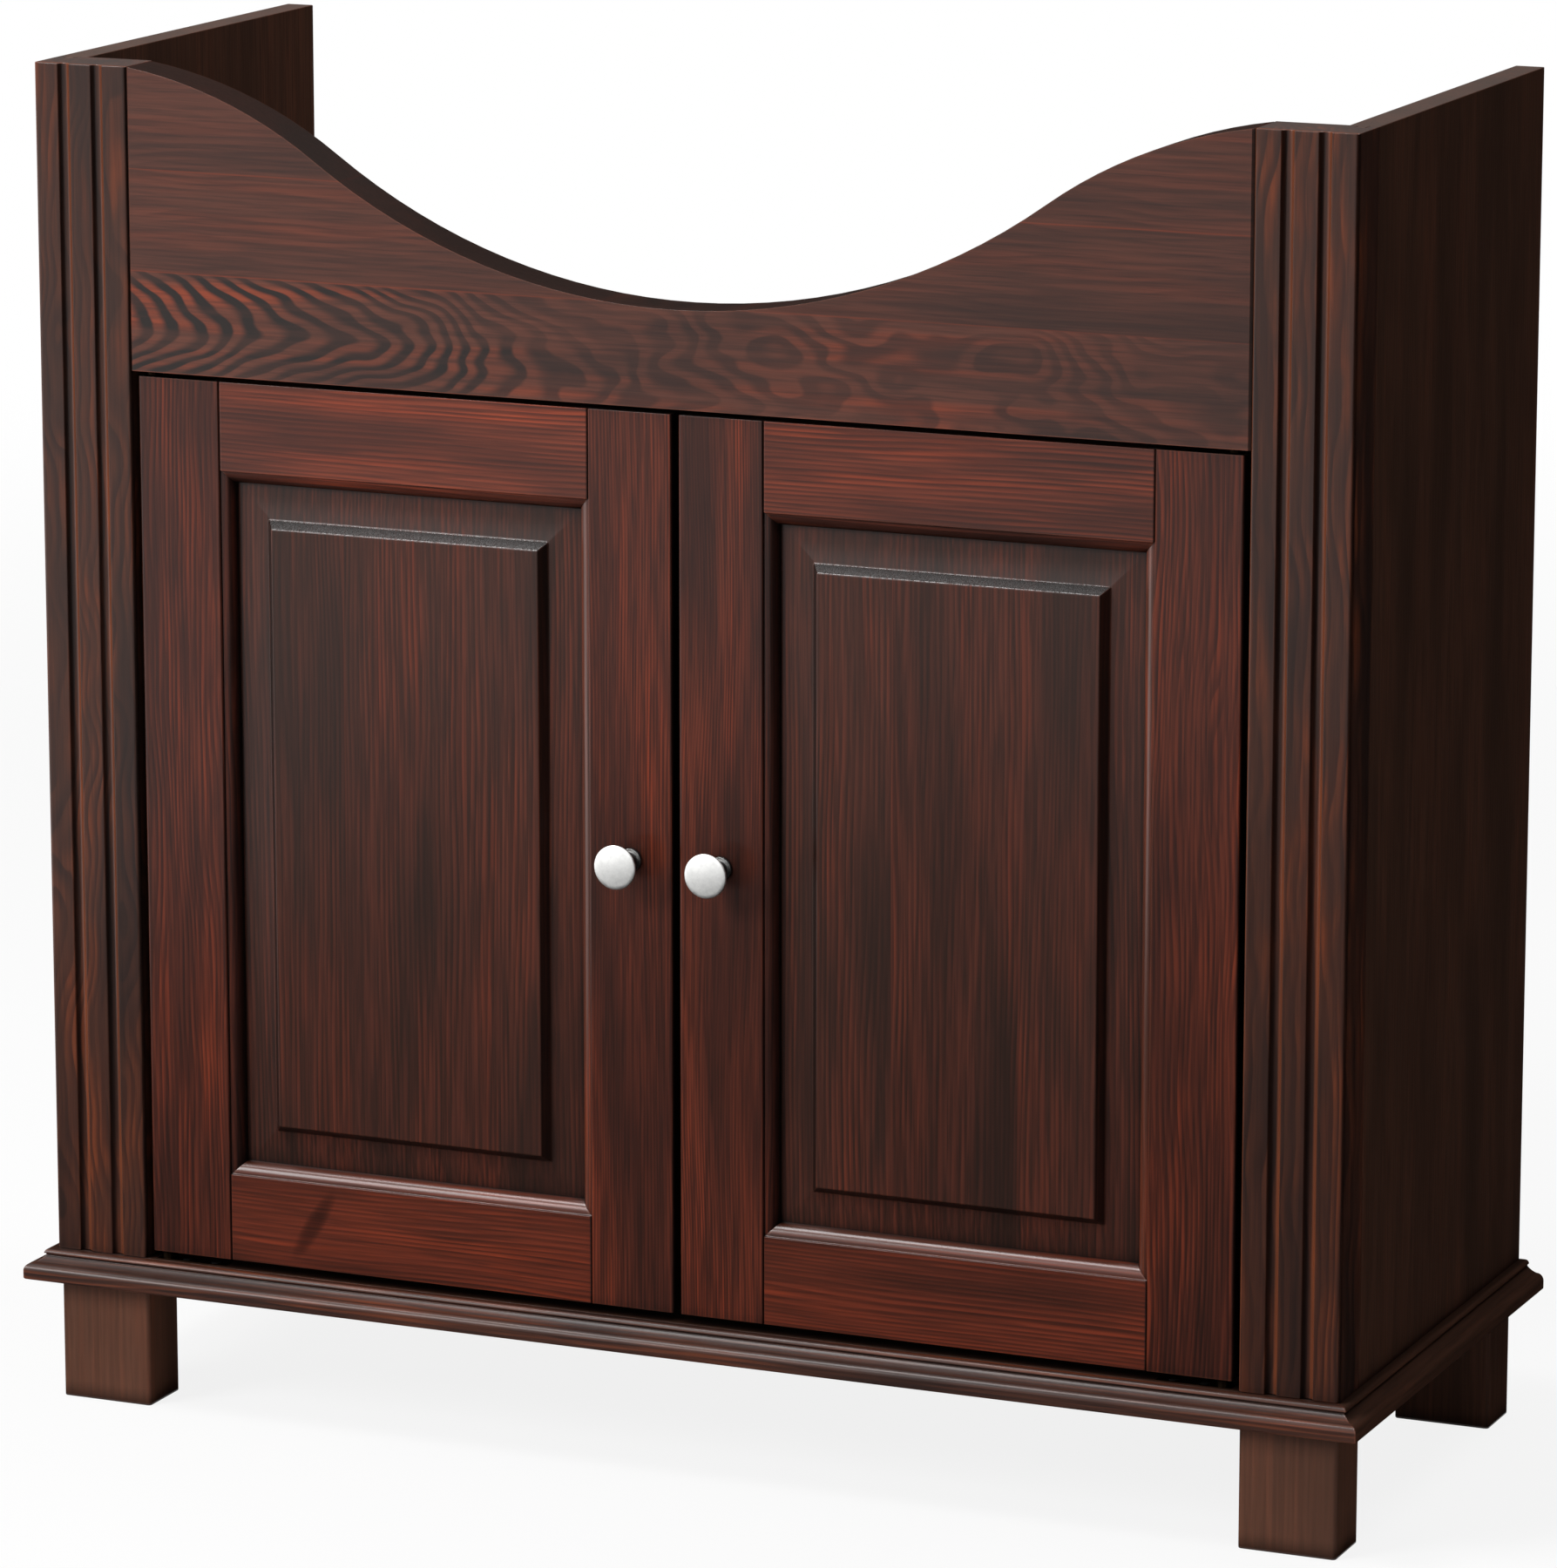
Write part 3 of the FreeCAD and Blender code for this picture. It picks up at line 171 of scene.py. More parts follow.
class NodeSheet:
    """Node tree of a material or a world, filled from code."""

    MIX_SHARE, MIX_FIRST, MIX_SECOND, MIX_RESULT = 0, 6, 7, 2
    SAMPLES = 4
    RELIEF = 0.5

    def __init__(self, owner: Material | bpy.types.World) -> None:
        """Empty the owner's node tree.

        Args:
            owner: Material or world to fill.
        """
        owner.use_nodes = True
        self.owner = owner
        self.tree = owner.node_tree
        self.tree.nodes.clear()

    @classmethod
    def of_material(cls, name: str) -> "NodeSheet":
        """Make a material and empty its node tree."""
        return cls(bpy.data.materials.new(name))

    def _node(self, kind: str, settings: Inputs | None, inputs: Inputs | None) -> bpy.types.Node:
        """Add a node.

        Args:
            kind: Type of the node.
            settings: The node's own properties, set before its sockets.
            inputs: Values or signals of its input sockets, by name or number.

        Returns:
            The node.
        """
        node = self.tree.nodes.new(kind)
        for name, value in (settings or {}).items():
            setattr(node, name, value)
        for name, value in (inputs or {}).items():
            if isinstance(value, Signal):
                self.tree.links.new(value.socket, node.inputs[name])
            else:
                node.inputs[name].default_value = value
        return node

    def add(
        self,
        kind: str,
        settings: Inputs | None = None,
        inputs: Inputs | None = None,
        output: str | int = 0,
    ) -> Signal:
        """Add a node.

        Args:
            kind: Type of the node.
            settings: The node's own properties, set before its sockets.
            inputs: Values or signals of its input sockets, by name or number.
            output: Output socket to go on from.

        Returns:
            The signal of that output.
        """
        return Signal(self, self._node(kind, settings, inputs).outputs[output])

    def spot(self) -> Signal:
        """Shaded point in the frame of its object."""
        return self.add("ShaderNodeTexCoord", output="Object")

    def facing(self) -> Signal:
        """Normal of the surface without any relief."""
        return self.add("ShaderNodeNewGeometry", output="Normal")

    def hidden(self, reach: float) -> Signal:
        """Share of the sky that other surfaces within a reach hide."""
        settings = {"samples": self.SAMPLES}
        return 1 - self.add("ShaderNodeAmbientOcclusion", settings, {"Distance": reach}, "AO")

    def vector(self, operation: str, *terms: Signal | Triple, output: str = "Vector") -> Signal:
        """Apply one operation of the Vector Math node to the terms in order."""
        settings = {"operation": operation}
        return self.add("ShaderNodeVectorMath", settings, dict(enumerate(terms)), output)

    def _mix(self, kind: str, share: Term, first: Hue, second: Hue) -> Signal:
        """Mix two colours.

        Args:
            kind: The Mix node's way of mixing.
            share: How far the second colour acts, from 0 to 1.
            first: First colour.
            second: Second colour.

        Returns:
            The mixed colour.
        """
        settings = {"data_type": "RGBA", "blend_type": kind}
        inputs = {self.MIX_SHARE: share, self.MIX_FIRST: first, self.MIX_SECOND: second}
        return self.add("ShaderNodeMix", settings, inputs, self.MIX_RESULT)

    def blend(self, share: Term, first: Hue, second: Hue) -> Signal:
        """Mix two colours: the first where the share is 0 and the second where it is 1."""
        return self._mix("MIX", share, first, second)

    def tint(self, colour: Hue, tone: Signal) -> Signal:
        """Multiply a colour by a grey tone.

        Args:
            colour: The colour.
            tone: The tone, 1 for no change.

        Returns:
            The shaded colour.
        """
        channels = dict.fromkeys(("Red", "Green", "Blue"), tone)
        grey = self.add("ShaderNodeCombineColor", inputs=channels)
        return self._mix("MULTIPLY", 1.0, colour, grey)

    def noise(self, spot: Signal, stretch: Triple, seed: Term, detail: float = 2.0) -> Signal:
        """Make noise from 0 to 1.

        Args:
            spot: Point at which it is read.
            stretch: Features per metre in each direction.
            seed: Seed of the noise.
            detail: Number of finer octaves.

        Returns:
            The noise.
        """
        spread = self.vector("MULTIPLY", spot, stretch)
        inputs = {"Vector": spread, "W": seed, "Scale": 1.0, "Detail": detail}
        return self.add("ShaderNodeTexNoise", {"noise_dimensions": "4D"}, inputs, "Fac")

    def relief(self, height: Signal, depth: float, normal: Signal | None = None) -> Signal:
        """Normal of a surface whose height goes from 0 to a depth in metres."""
        inputs = {"Strength": self.RELIEF, "Distance": depth, "Height": height}
        return self.add("ShaderNodeBump", inputs=inputs | ({"Normal": normal} if normal else {}))

    def finish(self, shader: Signal, kind: str = "ShaderNodeOutputMaterial") -> None:
        """Lead a shader to the surface of the material or the world."""
        self._node(kind, None, {"Surface": shader})

    def principled(self, inputs: Inputs) -> Material:
        """Finish a material with one Principled shader, and hand it back."""
        self.finish(self.add("ShaderNodeBsdfPrincipled", inputs=inputs))
        return self.owner


class Grain(Enum):
    """Axes along the grain, across the face and through the board."""

    LEVEL = (0, 2, 1)
    UPRIGHT = (2, 0, 1)
    SIDE = (2, 1, 0)
    FLAT = (0, 1, 2)
    RETURN = (1, 2, 0)


class Side(Enum):
    """Hand of a piece, with which its name begins."""

    LEFT = "left"
    RIGHT = "right"


@dataclass(frozen=True)
class Stain:
    """Colours of stained pine under lacquer.

    Attributes:
        early: Wood between the ring lines.
        late: Ring lines and open fibres.
        glow: Streaks that took less stain.
        worn_and_lit: Arrises where wear has thinned the stain, and the painted light on a profile's
            flank that looks to the lamps.
        pooled_and_shaded: Near black of stain gathered in joints and quirks and of a knot's heart, and
            of painted shade in recesses and on flanks turned from the lamps.
        dust_and_sheen: Pale grey on end grain that looks up, partly dirt settled there and partly a
            painted sheen.
        contrast: How strongly the ring lines show.
    """

    early: Colour
    late: Colour
    glow: Colour
    worn_and_lit: Colour = paint(132, 70, 42)
    pooled_and_shaded: Colour = paint(10, 6, 5)
    dust_and_sheen: Colour = paint(176, 168, 164)
    contrast: float = 0.88


@dataclass(frozen=True)
class Knot:
    """Spike knot on a board's face.

    Attributes:
        along: Place along the grain from the middle of the board.
        across: Place across the face from the middle of the board.
        length: Half length.
        breadth: Half breadth.
        turn: Angle of its length from the grain.
        fade: Square of the distance at which it ends, in its own half sizes.
    """

    along: float
    across: float
    length: float = 17 * MM
    breadth: float = 4 * MM
    turn: float = math.radians(58)
    fade: float = 1.8

    def mask(self, place: "Place") -> Signal:
        """1 in the heart of the knot, falling to 0 round it.

        Args:
            place: Where the point lies in the board.

        Returns:
            The mask.
        """
        along, across = place.along - self.along, place.across - self.across
        down = along * math.cos(self.turn) + across * math.sin(self.turn)
        aside = across * math.cos(self.turn) - along * math.sin(self.turn)
        down, aside = down / self.length, aside / self.breadth
        return 1 - (down * down + aside * aside).rise(0.0, self.fade)


@dataclass(frozen=True)
class Place:
    """Where a shaded point lies in its board.

    Attributes:
        sheet: Node tree of the board.
        along: Distance from the middle along the grain.
        across: Distance from the middle across the face.
        through: Distance from the middle through the board.
        depth: Distance below the face.
        point: Along, across and through together.
        lot: Number of the stave, 0 in the middle of the board.
        seed: Seed of the stave.
        end: 0 on long grain and 1 on end grain.
        up: How far the face looks up, from -1 to 1.
        lit: Above 0 on faces that look up or left, to the lamps, and below 0 on those that look away.
        crown: 1 on end grain that looks up.
    """

    sheet: NodeSheet
    along: Signal
    across: Signal
    through: Signal
    depth: Signal
    point: Signal
    lot: Signal
    seed: Signal
    end: Signal
    up: Signal
    lit: Signal
    crown: Signal


@dataclass(frozen=True)
class Weave:
    """Noise drawn out along the grain.

    Attributes:
        along: Features per metre along the grain.
        across: Features per metre across it.
        shift: What it adds to the seed of the stave.
        detail: Octaves of the noise.
    """

    along: float
    across: float
    shift: float
    detail: float = 2.0

    def over(self, place: Place) -> Signal:
        """Noise from 0 to 1 over a board."""
        stretch = (self.along, self.across, self.across)
        return place.sheet.noise(place.point, stretch, place.seed + self.shift, self.detail)


FIBRES = Weave(45, 1300, 53.0)
HAIRS = Weave(20, 620, 71.0)
CLOUDS = Weave(7, 16, 31.0)
ZONES = Weave(5, 38, 61.0)
RIPPLES = Weave(14, 120, 11.0)
SPACING = Weave(2.2, 60, 23.0, 1.0)
LOOPS = Weave(12, 26, 5.0)


@dataclass(frozen=True)
class Marks:
    """What shows in the wood at a point: ring lines, fine fibres, broad clouds and long streaks."""

    line: Signal
    fibre: Signal
    cloud: Signal
    streak: Signal


@dataclass(frozen=True)
class Pine:
    """Finish of one board of stained pine.

    Attributes:
        grain: How the board was cut.
        stain: Its colours.
        seed: Picks the board from the log.
        shade: How light the board is beside the others, partly its own tone and partly painted light
            and shade.
        pitch: Width of a year ring on the face.
        figure: How far the rings stray from straight.
        figure_length: Length of their waves along the grain.
        figure_breadth: Breadth of their waves across it.
        spread: How unevenly the rings are spaced.
        streak: Streaks per metre along the grain and across it.
        bottom_shade: How far an upright board is painted darker and warmer towards its lower end and a
            little lighter towards its top, as painted shade.
        stave: Width of its glued staves.
        fibres: How dark the open fibres are.
        patches: How dark the patches with more stain are.
        profile: Depth of its flutes or moulded edge.
        lit_flank_light: How far the profile's flank that looks to the lamps is painted paler, as
            painted light.
        crevice_stain_and_shade: How dark joints, quirks and other recesses are, partly stain gathered
            there and partly painted shade.
        gloss: How thickly the lacquer stands on the lit flank.
        lit_flank_shade: How far the profile's flank that looks to the lamps is painted darker, as
            painted shade.
        coat: How thickly the lacquer stands elsewhere.
        polish: How far end grain and ledges that look up are scraped and polished.
        knot: Knot on the face.
    """

    LACQUER = {"Specular IOR Level": 0.1, "Coat Roughness": 0.22, "Coat IOR": 1.7}
    ROUGHNESS = 0.33
    FIBRE_ROUGHNESS = 0.14
    END_ROUGHNESS = 0.3
    FIBRE_DEPTH = 0.1 * MM
    ARRIS_RADIUS = 1.4 * MM
    ARRIS_WEAR = 0.5
    ARRIS_COAT = 0.6
    LEDGE_COAT = 0.3
    CREVICE_REACH = 9.0 * MM
    # Share of painted shade on a profile's flank turned from the lamps.
    LEE_SHADE = 0.6
    SKIN = 0.1 * MM
    FADE = 0.6 * MM
    HOLLOW = 0.3
    # Share of pale grey on end grain that looks up: partly dirt, partly a painted sheen.
    DUST_AND_SHEEN = 0.1
    RING_SLANT = 0.4
    RING_RIPPLE = 0.3
    STAVE_SEEDS = 3.7

    grain: Grain
    stain: Stain
    seed: float
    shade: float = 1.0
    pitch: float = 0.0024
    figure: float = 0.006
    figure_length: float = 0.2
    figure_breadth: float = 0.04
    spread: float = 4.0
    streak: tuple[float, float] = (7, 130)
    bottom_shade: float = 0.0
    stave: float = 1.0
    fibres: float = 0.6
    patches: float = 0.75
    profile: float = 0.0
    lit_flank_light: float = 0.2
    crevice_stain_and_shade: float = 0.94
    gloss: float = 0.28
    lit_flank_shade: float = 0.0
    coat: float = 0.2
    polish: float = 0.0
    knot: Knot | None = None

    def material(self, name: str, low: Vector, high: Vector) -> Material:
        """Make the board's own material, whose grain runs through it as through a solid.

        Args:
            name: Name of the material.
            low: Lowest corner of the board's box.
            high: Highest corner.

        Returns:
            The material.
        """
        sheet = NodeSheet.of_material(name)
        place = self._place(sheet, low, high)
        fibre, cloud = FIBRES.over(place), CLOUDS.over(place)
        streak = Weave(*self.streak, shift=41.0, detail=3.0).over(place)
        line = self._rings(place)
        flat = self._colour(place, Marks(line, fibre, cloud, streak))
        arris = self._arris(sheet)
        flank, lee = self._profile(place)
        # Painted light: the profile's flank that looks to the lamps takes the pale colour of the
        # arrises, where the wear is real.
        wear_and_light = (arris + flank * self.lit_flank_light) * (streak * 0.8 + 0.3)
        rubbed_and_lit = sheet.blend(wear_and_light, flat, self.stain.worn_and_lit)
        # Painted shade: recesses where nearby surfaces hide the sky are darkened, partly for stain
        # gathered in the joints; flanks of a profile are darkened too, as painted shade.
        crevice = sheet.hidden(self.CREVICE_REACH).rise(0.1, 0.46)
        pooled_and_shaded = crevice * self.crevice_stain_and_shade + lee * self.LEE_SHADE + flank * self.lit_flank_shade
        crown = place.crown * fibre.rise(0.38, 0.6) * self.polish
        ledge = place.up.rise(0.04, 0.1) * (1 - place.up.rise(0.15, 0.3)) * self.polish
        coat = arris * self.ARRIS_COAT + flank * self.gloss + crown + ledge * self.LEDGE_COAT
        bare = place.end * (self.END_ROUGHNESS * (1 - self.polish))
        height = fibre * 0.8 + line * 0.2
        return sheet.principled(self.LACQUER | {
            "Base Color": sheet.blend(pooled_and_shaded, rubbed_and_lit, self.stain.pooled_and_shaded),
            "Roughness": fibre * self.FIBRE_ROUGHNESS + bare + self.ROUGHNESS,
            "Normal": sheet.relief(height, self.FIBRE_DEPTH, self._hollow(place)),
            "Coat Weight": coat + self.coat,
        })

    def _place(self, sheet: NodeSheet, low: Vector, high: Vector) -> Place:
        """Measure a shaded point from the middle of the board, along its own grain.

        Args:
            sheet: Node tree of the board.
            low: Lowest corner of the board's box.
            high: Highest corner.

        Returns:
            The place of the point.
        """
        middle, half = (low + high) / 2, (high - low) / 2
        spot = sheet.spot()
        axes = sheet.add("ShaderNodeSeparateXYZ", inputs={"Vector": spot})
        offsets = [axes.also(letter) - start for letter, start in zip("XYZ", middle)]
        along, across, through = (offsets[axis] for axis in self.grain.value)
        point = sheet.add("ShaderNodeCombineXYZ", inputs={"X": along, "Y": across, "Z": through})
        facing = sheet.add("ShaderNodeSeparateXYZ", inputs={"Vector": spot.also("Normal")})
        turn, up = facing.also("XYZ"[self.grain.value[0]]), facing.also("Z")
        end, crown = abs(turn).rise(0.3, 0.9), turn.rise(0.3, 0.9)
        lot = (across / self.stave + 0.5).floor()
        seed = lot * self.STAVE_SEEDS + self.seed
        depth = through + half[self.grain.value[2]]
        lit = up - facing.also("X")
        return Place(sheet, along, across, through, depth, point, lot, seed, end, up, lit, crown)

    def _profile(self, place: Place) -> tuple[Term, Term]:
        """Find the flanks of a profile.

        Args:
            place: Where the point lies in the board.

        Returns:
            Masks of the flank that looks to the lamps and of the other, 0 without a profile.
        """
        if not self.profile:
            return 0.0, 0.0
        inner = place.depth.rise(self.profile, self.profile + self.FADE)
        moulded = place.depth.rise(self.SKIN, self.FADE) * (1 - inner)
        return moulded * place.lit.rise(0.0, 0.4), moulded * (0.0 - place.lit).rise(0.1, 0.6)

    def _hollow(self, place: Place) -> Signal:
        """Turn the normal a little to the front where end grain is scraped hollow.

        Args:
            place: Where the point lies in the board.

        Returns:
            The normal.
        """
        sheet, forward = place.sheet, place.crown * (-self.HOLLOW * self.polish)
        lean = sheet.add("ShaderNodeCombineXYZ", inputs={"Y": forward})
        spaces = {"vector_type": "VECTOR", "convert_from": "OBJECT", "convert_to": "WORLD"}
        turned = sheet.add("ShaderNodeVectorTransform", spaces, {"Vector": lean})
        return sheet.vector("NORMALIZE", sheet.vector("ADD", sheet.facing(), turned))

    def _colour(self, place: Place, marks: Marks) -> Signal:
        """Colour of the stained wood away from edges and joints.

        Args:
            place: Where the point lies in the board.
            marks: What shows in the wood there.

        Returns:
            The colour.
        """
        sheet, stain, cloud, streak = place.sheet, self.stain, marks.cloud, marks.streak
        zone = ZONES.over(place)
        glow = streak.rise(0.4, 0.7) * zone.rise(0.35, 0.65) * self._warmth(place)
        deep = 1 - place.along.rise(-0.25, 0.25)
        # Painted shade: upright boards grow warmer towards the lower end.
        bottom_warmth = deep * zone.rise(0.3, 0.7) * self.bottom_shade
        ground = sheet.blend(glow + bottom_warmth, stain.early, stain.glow)
        patch = 1 - zone.rise(0.25, 0.62)
        shaded = sheet.blend(patch * self.patches, ground, stain.late)
        strength = cloud.rise(0.2, 0.7) * 0.5 + streak.rise(0.35, 0.65) * 0.4 + 0.1
        ringed = sheet.blend(marks.line * strength * stain.contrast, shaded, stain.late)
        hair = HAIRS.over(place).rise(0.38, 0.64)
        fine = hair * self.fibres + marks.fibre.rise(0.46, 0.76) * 0.25
        grained = sheet.blend(fine, ringed, stain.late)
        edge = abs(place.across / self.stave - place.lot).rise(0.486, 0.5)
        glued = sheet.blend(edge * cloud.rise(0.3, 0.6) * 0.4, grained, stain.glow)
        if self.knot:
            glued = sheet.blend(self.knot.mask(place) * (streak * 0.7 + 0.3), glued, stain.pooled_and_shaded)
        settings = {"noise_dimensions": "1D"}
        chance = sheet.add("ShaderNodeTexWhiteNoise", settings, {"W": place.seed}, "Value")
        # Painted shade: darker towards the lower end and a little lighter towards the top.
        fall = (0.16 - deep * 0.48) * self.bottom_shade + 1.0
        tone = (cloud * 0.3 + chance * 0.16 + 0.77) * (1 - place.end * 0.2) * fall * self.shade
        # Dirt and a painted sheen: end grain that looks up is blended towards pale grey.
        dust_and_sheen_share = place.crown * (self.DUST_AND_SHEEN * (1 - self.polish))
        return sheet.blend(dust_and_sheen_share, sheet.tint(glued, tone), stain.dust_and_sheen)

    def _warmth(self, place: Place) -> Term:
        """How far the streaks glow."""
        return 1.0

    def _phase(self, place: Place) -> Signal:
        """Count the year rings from the middle of the board.

        Args:
            place: Where the point lies in the board.

        Returns:
            Their number.
        """
        waves = Weave(1 / self.figure_length, 1 / self.figure_breadth, shift=0.0, detail=1.0)
        stray = (waves.over(place) - 0.5) * (2 * self.figure)
        return (place.across + place.through * self.RING_SLANT + stray) / self.pitch

    def _rings(self, place: Place) -> Signal:
        """Draw the year rings.

        Args:
            place: Where the point lies in the board.

        Returns:
            0 in the wood between the lines and 1 on a line, sharp on one side.
        """
        ripple = (RIPPLES.over(place) - 0.5) * self.RING_RIPPLE
        spread = SPACING.over(place) * self.spread
        return self._line(place, (self._phase(place) + ripple + spread).fraction())

    def _line(self, place: Place, year: Signal) -> Signal:
        """Darkness at a share of a year: rising slowly and ending sharply."""
        return year.rise(0.12, 0.8) * (1 - year.rise(0.88, 1.0))

    def _arris(self, sheet: NodeSheet) -> Signal:
        """Find the eased edges.

        Args:
            sheet: Node tree of the board.

        Returns:
            Mask from 0 on the flat to its most on an arris.
        """
        settings = {"samples": sheet.SAMPLES}
        rounded = sheet.add("ShaderNodeBevel", settings, {"Radius": self.ARRIS_RADIUS})
        match = sheet.vector("DOT_PRODUCT", rounded, sheet.facing(), output="Value")
        return (1 - match).rise(0.03, 0.3) * self.ARRIS_WEAR


@dataclass(frozen=True)
class FlamedPine(Pine):
    """Board glued from staves, the lowest of which shows nested flames.

    Attributes:
        arch: How sharply a flame bends, as metres along the grain per square metre across it.
        flame_pitch: Distance between two flames.
        axis: Height of the flames' tips in their stave.
        drift: How far the tips sink for each metre along the board.
        turmoil: How much of the flames is loops and how little is nested arches.
        loop: Size of a loop.
        rest: How strongly the rings show in the other staves.
        rest_glow: How far the streaks glow in the other staves.
        up_face_dark: How much darker faces that look up are.
    """

    arch: float = 85.0
    flame_pitch: float = 0.0105
    axis: float = -0.006
    drift: float = 0.03
    turmoil: float = 0.46
    loop: float = 0.24
    rest: float = 0.25
    rest_glow: float = 0.2
    up_face_dark: float = 0.8

    def _lowest(self, place: Place) -> Signal:
        """1 in the lowest stave."""
        return place.lot < -0.5

    def _warmth(self, place: Place) -> Term:
        """Glow of the flames, and a faint one in the other staves."""
        return self._lowest(place) * (1 - self.rest_glow) + self.rest_glow

    def _phase(self, place: Place) -> Signal:
        """Count the flames in the lowest stave, and the year rings in the others.

        Args:
            place: Where the point lies in the board.

        Returns:
            Their number.
        """
        calm = super()._phase(place)
        from_tip = place.across - place.lot * self.stave - self.axis + place.along * self.drift
        wild = place.along.rise(-0.3, 0.0) * 0.6 + 0.4
        loops = LOOPS.over(place) * wild * (self.loop * self.turmoil)
        run = place.along.rise(-0.75, 0.3) * 0.7
        bend = (1 - place.along.rise(-0.2, 0.2) * 0.6) * self.arch
        flame = ((run + from_tip * from_tip * bend) * (1 - self.turmoil) + loops) / self.flame_pitch
        lowest = self._lowest(place)
        return flame * lowest + calm * (1 - lowest)

    def _line(self, place: Place, year: Signal) -> Signal:
        """Draw broad soft bands in the lowest stave, and faint lines in the others.

        Args:
            place: Where the point lies in the board.
            year: Share of a year or of a flame.

        Returns:
            Darkness from 0 to 1.
        """
        lowest = self._lowest(place)
        fade = 1 - place.along.rise(-0.25, 0.3) * 0.4
        band = year.rise(0.22, 0.62) * (1 - year.rise(0.86, 1.0)) * fade
        return band * lowest + super()._line(place, year) * (1 - lowest) * self.rest

    def _colour(self, place: Place, marks: Marks) -> Signal:
        """Colour of the stained wood, darker on faces that look up."""
        colour = super()._colour(place, marks)
        return place.sheet.blend(place.up.rise(0.3, 0.7) * self.up_face_dark, colour, self.stain.late)


@dataclass(frozen=True)
class Metal:
    """Finish of a metal.

    Attributes:
        colour: Colour of the metal.
        roughness: Its mean roughness.
        marks: Depth of the tool marks.
        stretch: Tool marks per metre in each direction.
        grime_and_shade: Share of hidden sky at which dirt and painted shade darken the metal most.
    """

    HANDLING = (420, 420, 420)
    GRIME_AND_SHADE_REACH = 30 * MM
    GRIME_AND_SHADE_START = 0.08
    GRIME_AND_SHADE_DEPTH = 0.9

    colour: Colour
    roughness: float
    marks: float
    stretch: Triple
    grime_and_shade: float = 0.42

    def material(self, name: str) -> Material:
        """Make a metal with clouds of handling, fine tool marks, and dirt with painted shade in its
        corners.

        Args:
            name: Name of the material.

        Returns:
            The material.
        """
        sheet = NodeSheet.of_material(name)
        spot = sheet.spot()
        marks = sheet.noise(spot, self.stretch, seed=2.0, detail=3.0)
        cloud = sheet.noise(spot, self.HANDLING, seed=5.0, detail=3.0)
        # Dirt and painted shade: the metal darkens where nearby surfaces hide the sky.
        grime_and_shade = sheet.hidden(self.GRIME_AND_SHADE_REACH).rise(self.GRIME_AND_SHADE_START, self.grime_and_shade) * self.GRIME_AND_SHADE_DEPTH
        return sheet.principled({
            "Base Color": sheet.tint(self.colour, (cloud * 0.2 + marks * 0.16 + 0.8) * (1 - grime_and_shade)),
            "Metallic": 1.0,
            "Roughness": cloud * 0.16 + marks * 0.12 + (self.roughness - 0.14),
            "Normal": sheet.relief(marks, self.marks),
        })


@dataclass(frozen=True)
class Moulded:
    """Finish of a dense pressed or moulded stuff: plastic, ferrite or unfinished beech.

    Attributes:
        colour: Colour of the ground.
        fleck: Colour of the flecks.
        roughness: Mean roughness.
        stretch: Flecks per metre in each direction.
        depth: Depth of the relief.
    """

    CLOUDING = (40, 40, 40)

    colour: Colour
    fleck: Colour
    roughness: float
    stretch: Triple
    depth: float

    def material(self, name: str) -> Material:
        """Make a dull surface with flecks.

        Args:
            name: Name of the material.

        Returns:
            The material.
        """
        sheet = NodeSheet.of_material(name)
        spot = sheet.spot()
        fleck = sheet.noise(spot, self.stretch, seed=3.0, detail=4.0)
        cloud = sheet.noise(spot, self.CLOUDING, seed=8.0)
        share = fleck.rise(0.4, 0.7) * (cloud * 0.5 + 0.4)
        return sheet.principled({
            "Base Color": sheet.blend(share, self.colour, self.fleck),
            "Roughness": cloud * 0.16 + (self.roughness - 0.08),
            "Normal": sheet.relief(fleck, self.depth),
        })


class Tone(Enum):
    """Stains of the cabinet, from the red door frames to the dark sides."""

    FRAME = Stain(paint(101, 47, 32), late=paint(40, 23, 19), glow=paint(130, 54, 31))
    SILL = Stain(paint(104, 43, 26), late=paint(42, 22, 16), glow=paint(134, 52, 27))
    PANEL = Stain(paint(84, 44, 33), late=paint(40, 27, 22), glow=paint(100, 46, 31))
    POST = Stain(paint(78, 47, 36), late=paint(37, 28, 26), glow=paint(120, 60, 35), contrast=0.8)
    APRON = Stain(paint(93, 55, 44), late=paint(35, 29, 27), glow=paint(142, 62, 38), contrast=1.25)
    SIDE = Stain(paint(77, 49, 37), late=paint(53, 36, 28), glow=paint(86, 51, 37), contrast=0.4)


class Fitting(Enum):
    """Finishes of the fittings and of the unfinished wood inside the joints."""

    NICKEL = Metal(paint(250, 250, 248), 0.5, 0.03 * MM, (900, 900, 900), grime_and_shade=0.24)
    BRONZE = Metal(paint(64, 48, 34), 0.42, 0.03 * MM, (60, 900, 900))
    STEEL = Metal(paint(196, 198, 200), 0.45, 0.02 * MM, (300, 300, 300))
    PLASTIC = Moulded(paint(88, 56, 36), paint(74, 46, 30), 0.5, (900, 900, 900), 0.03 * MM)
    FERRITE = Moulded(paint(48, 47, 47), paint(30, 30, 31), 0.6, (1500, 1500, 1500), 0.05 * MM)
    BEECH = Moulded(paint(206, 168, 126), paint(170, 122, 84), 0.65, (90, 900, 900), 0.06 * MM)


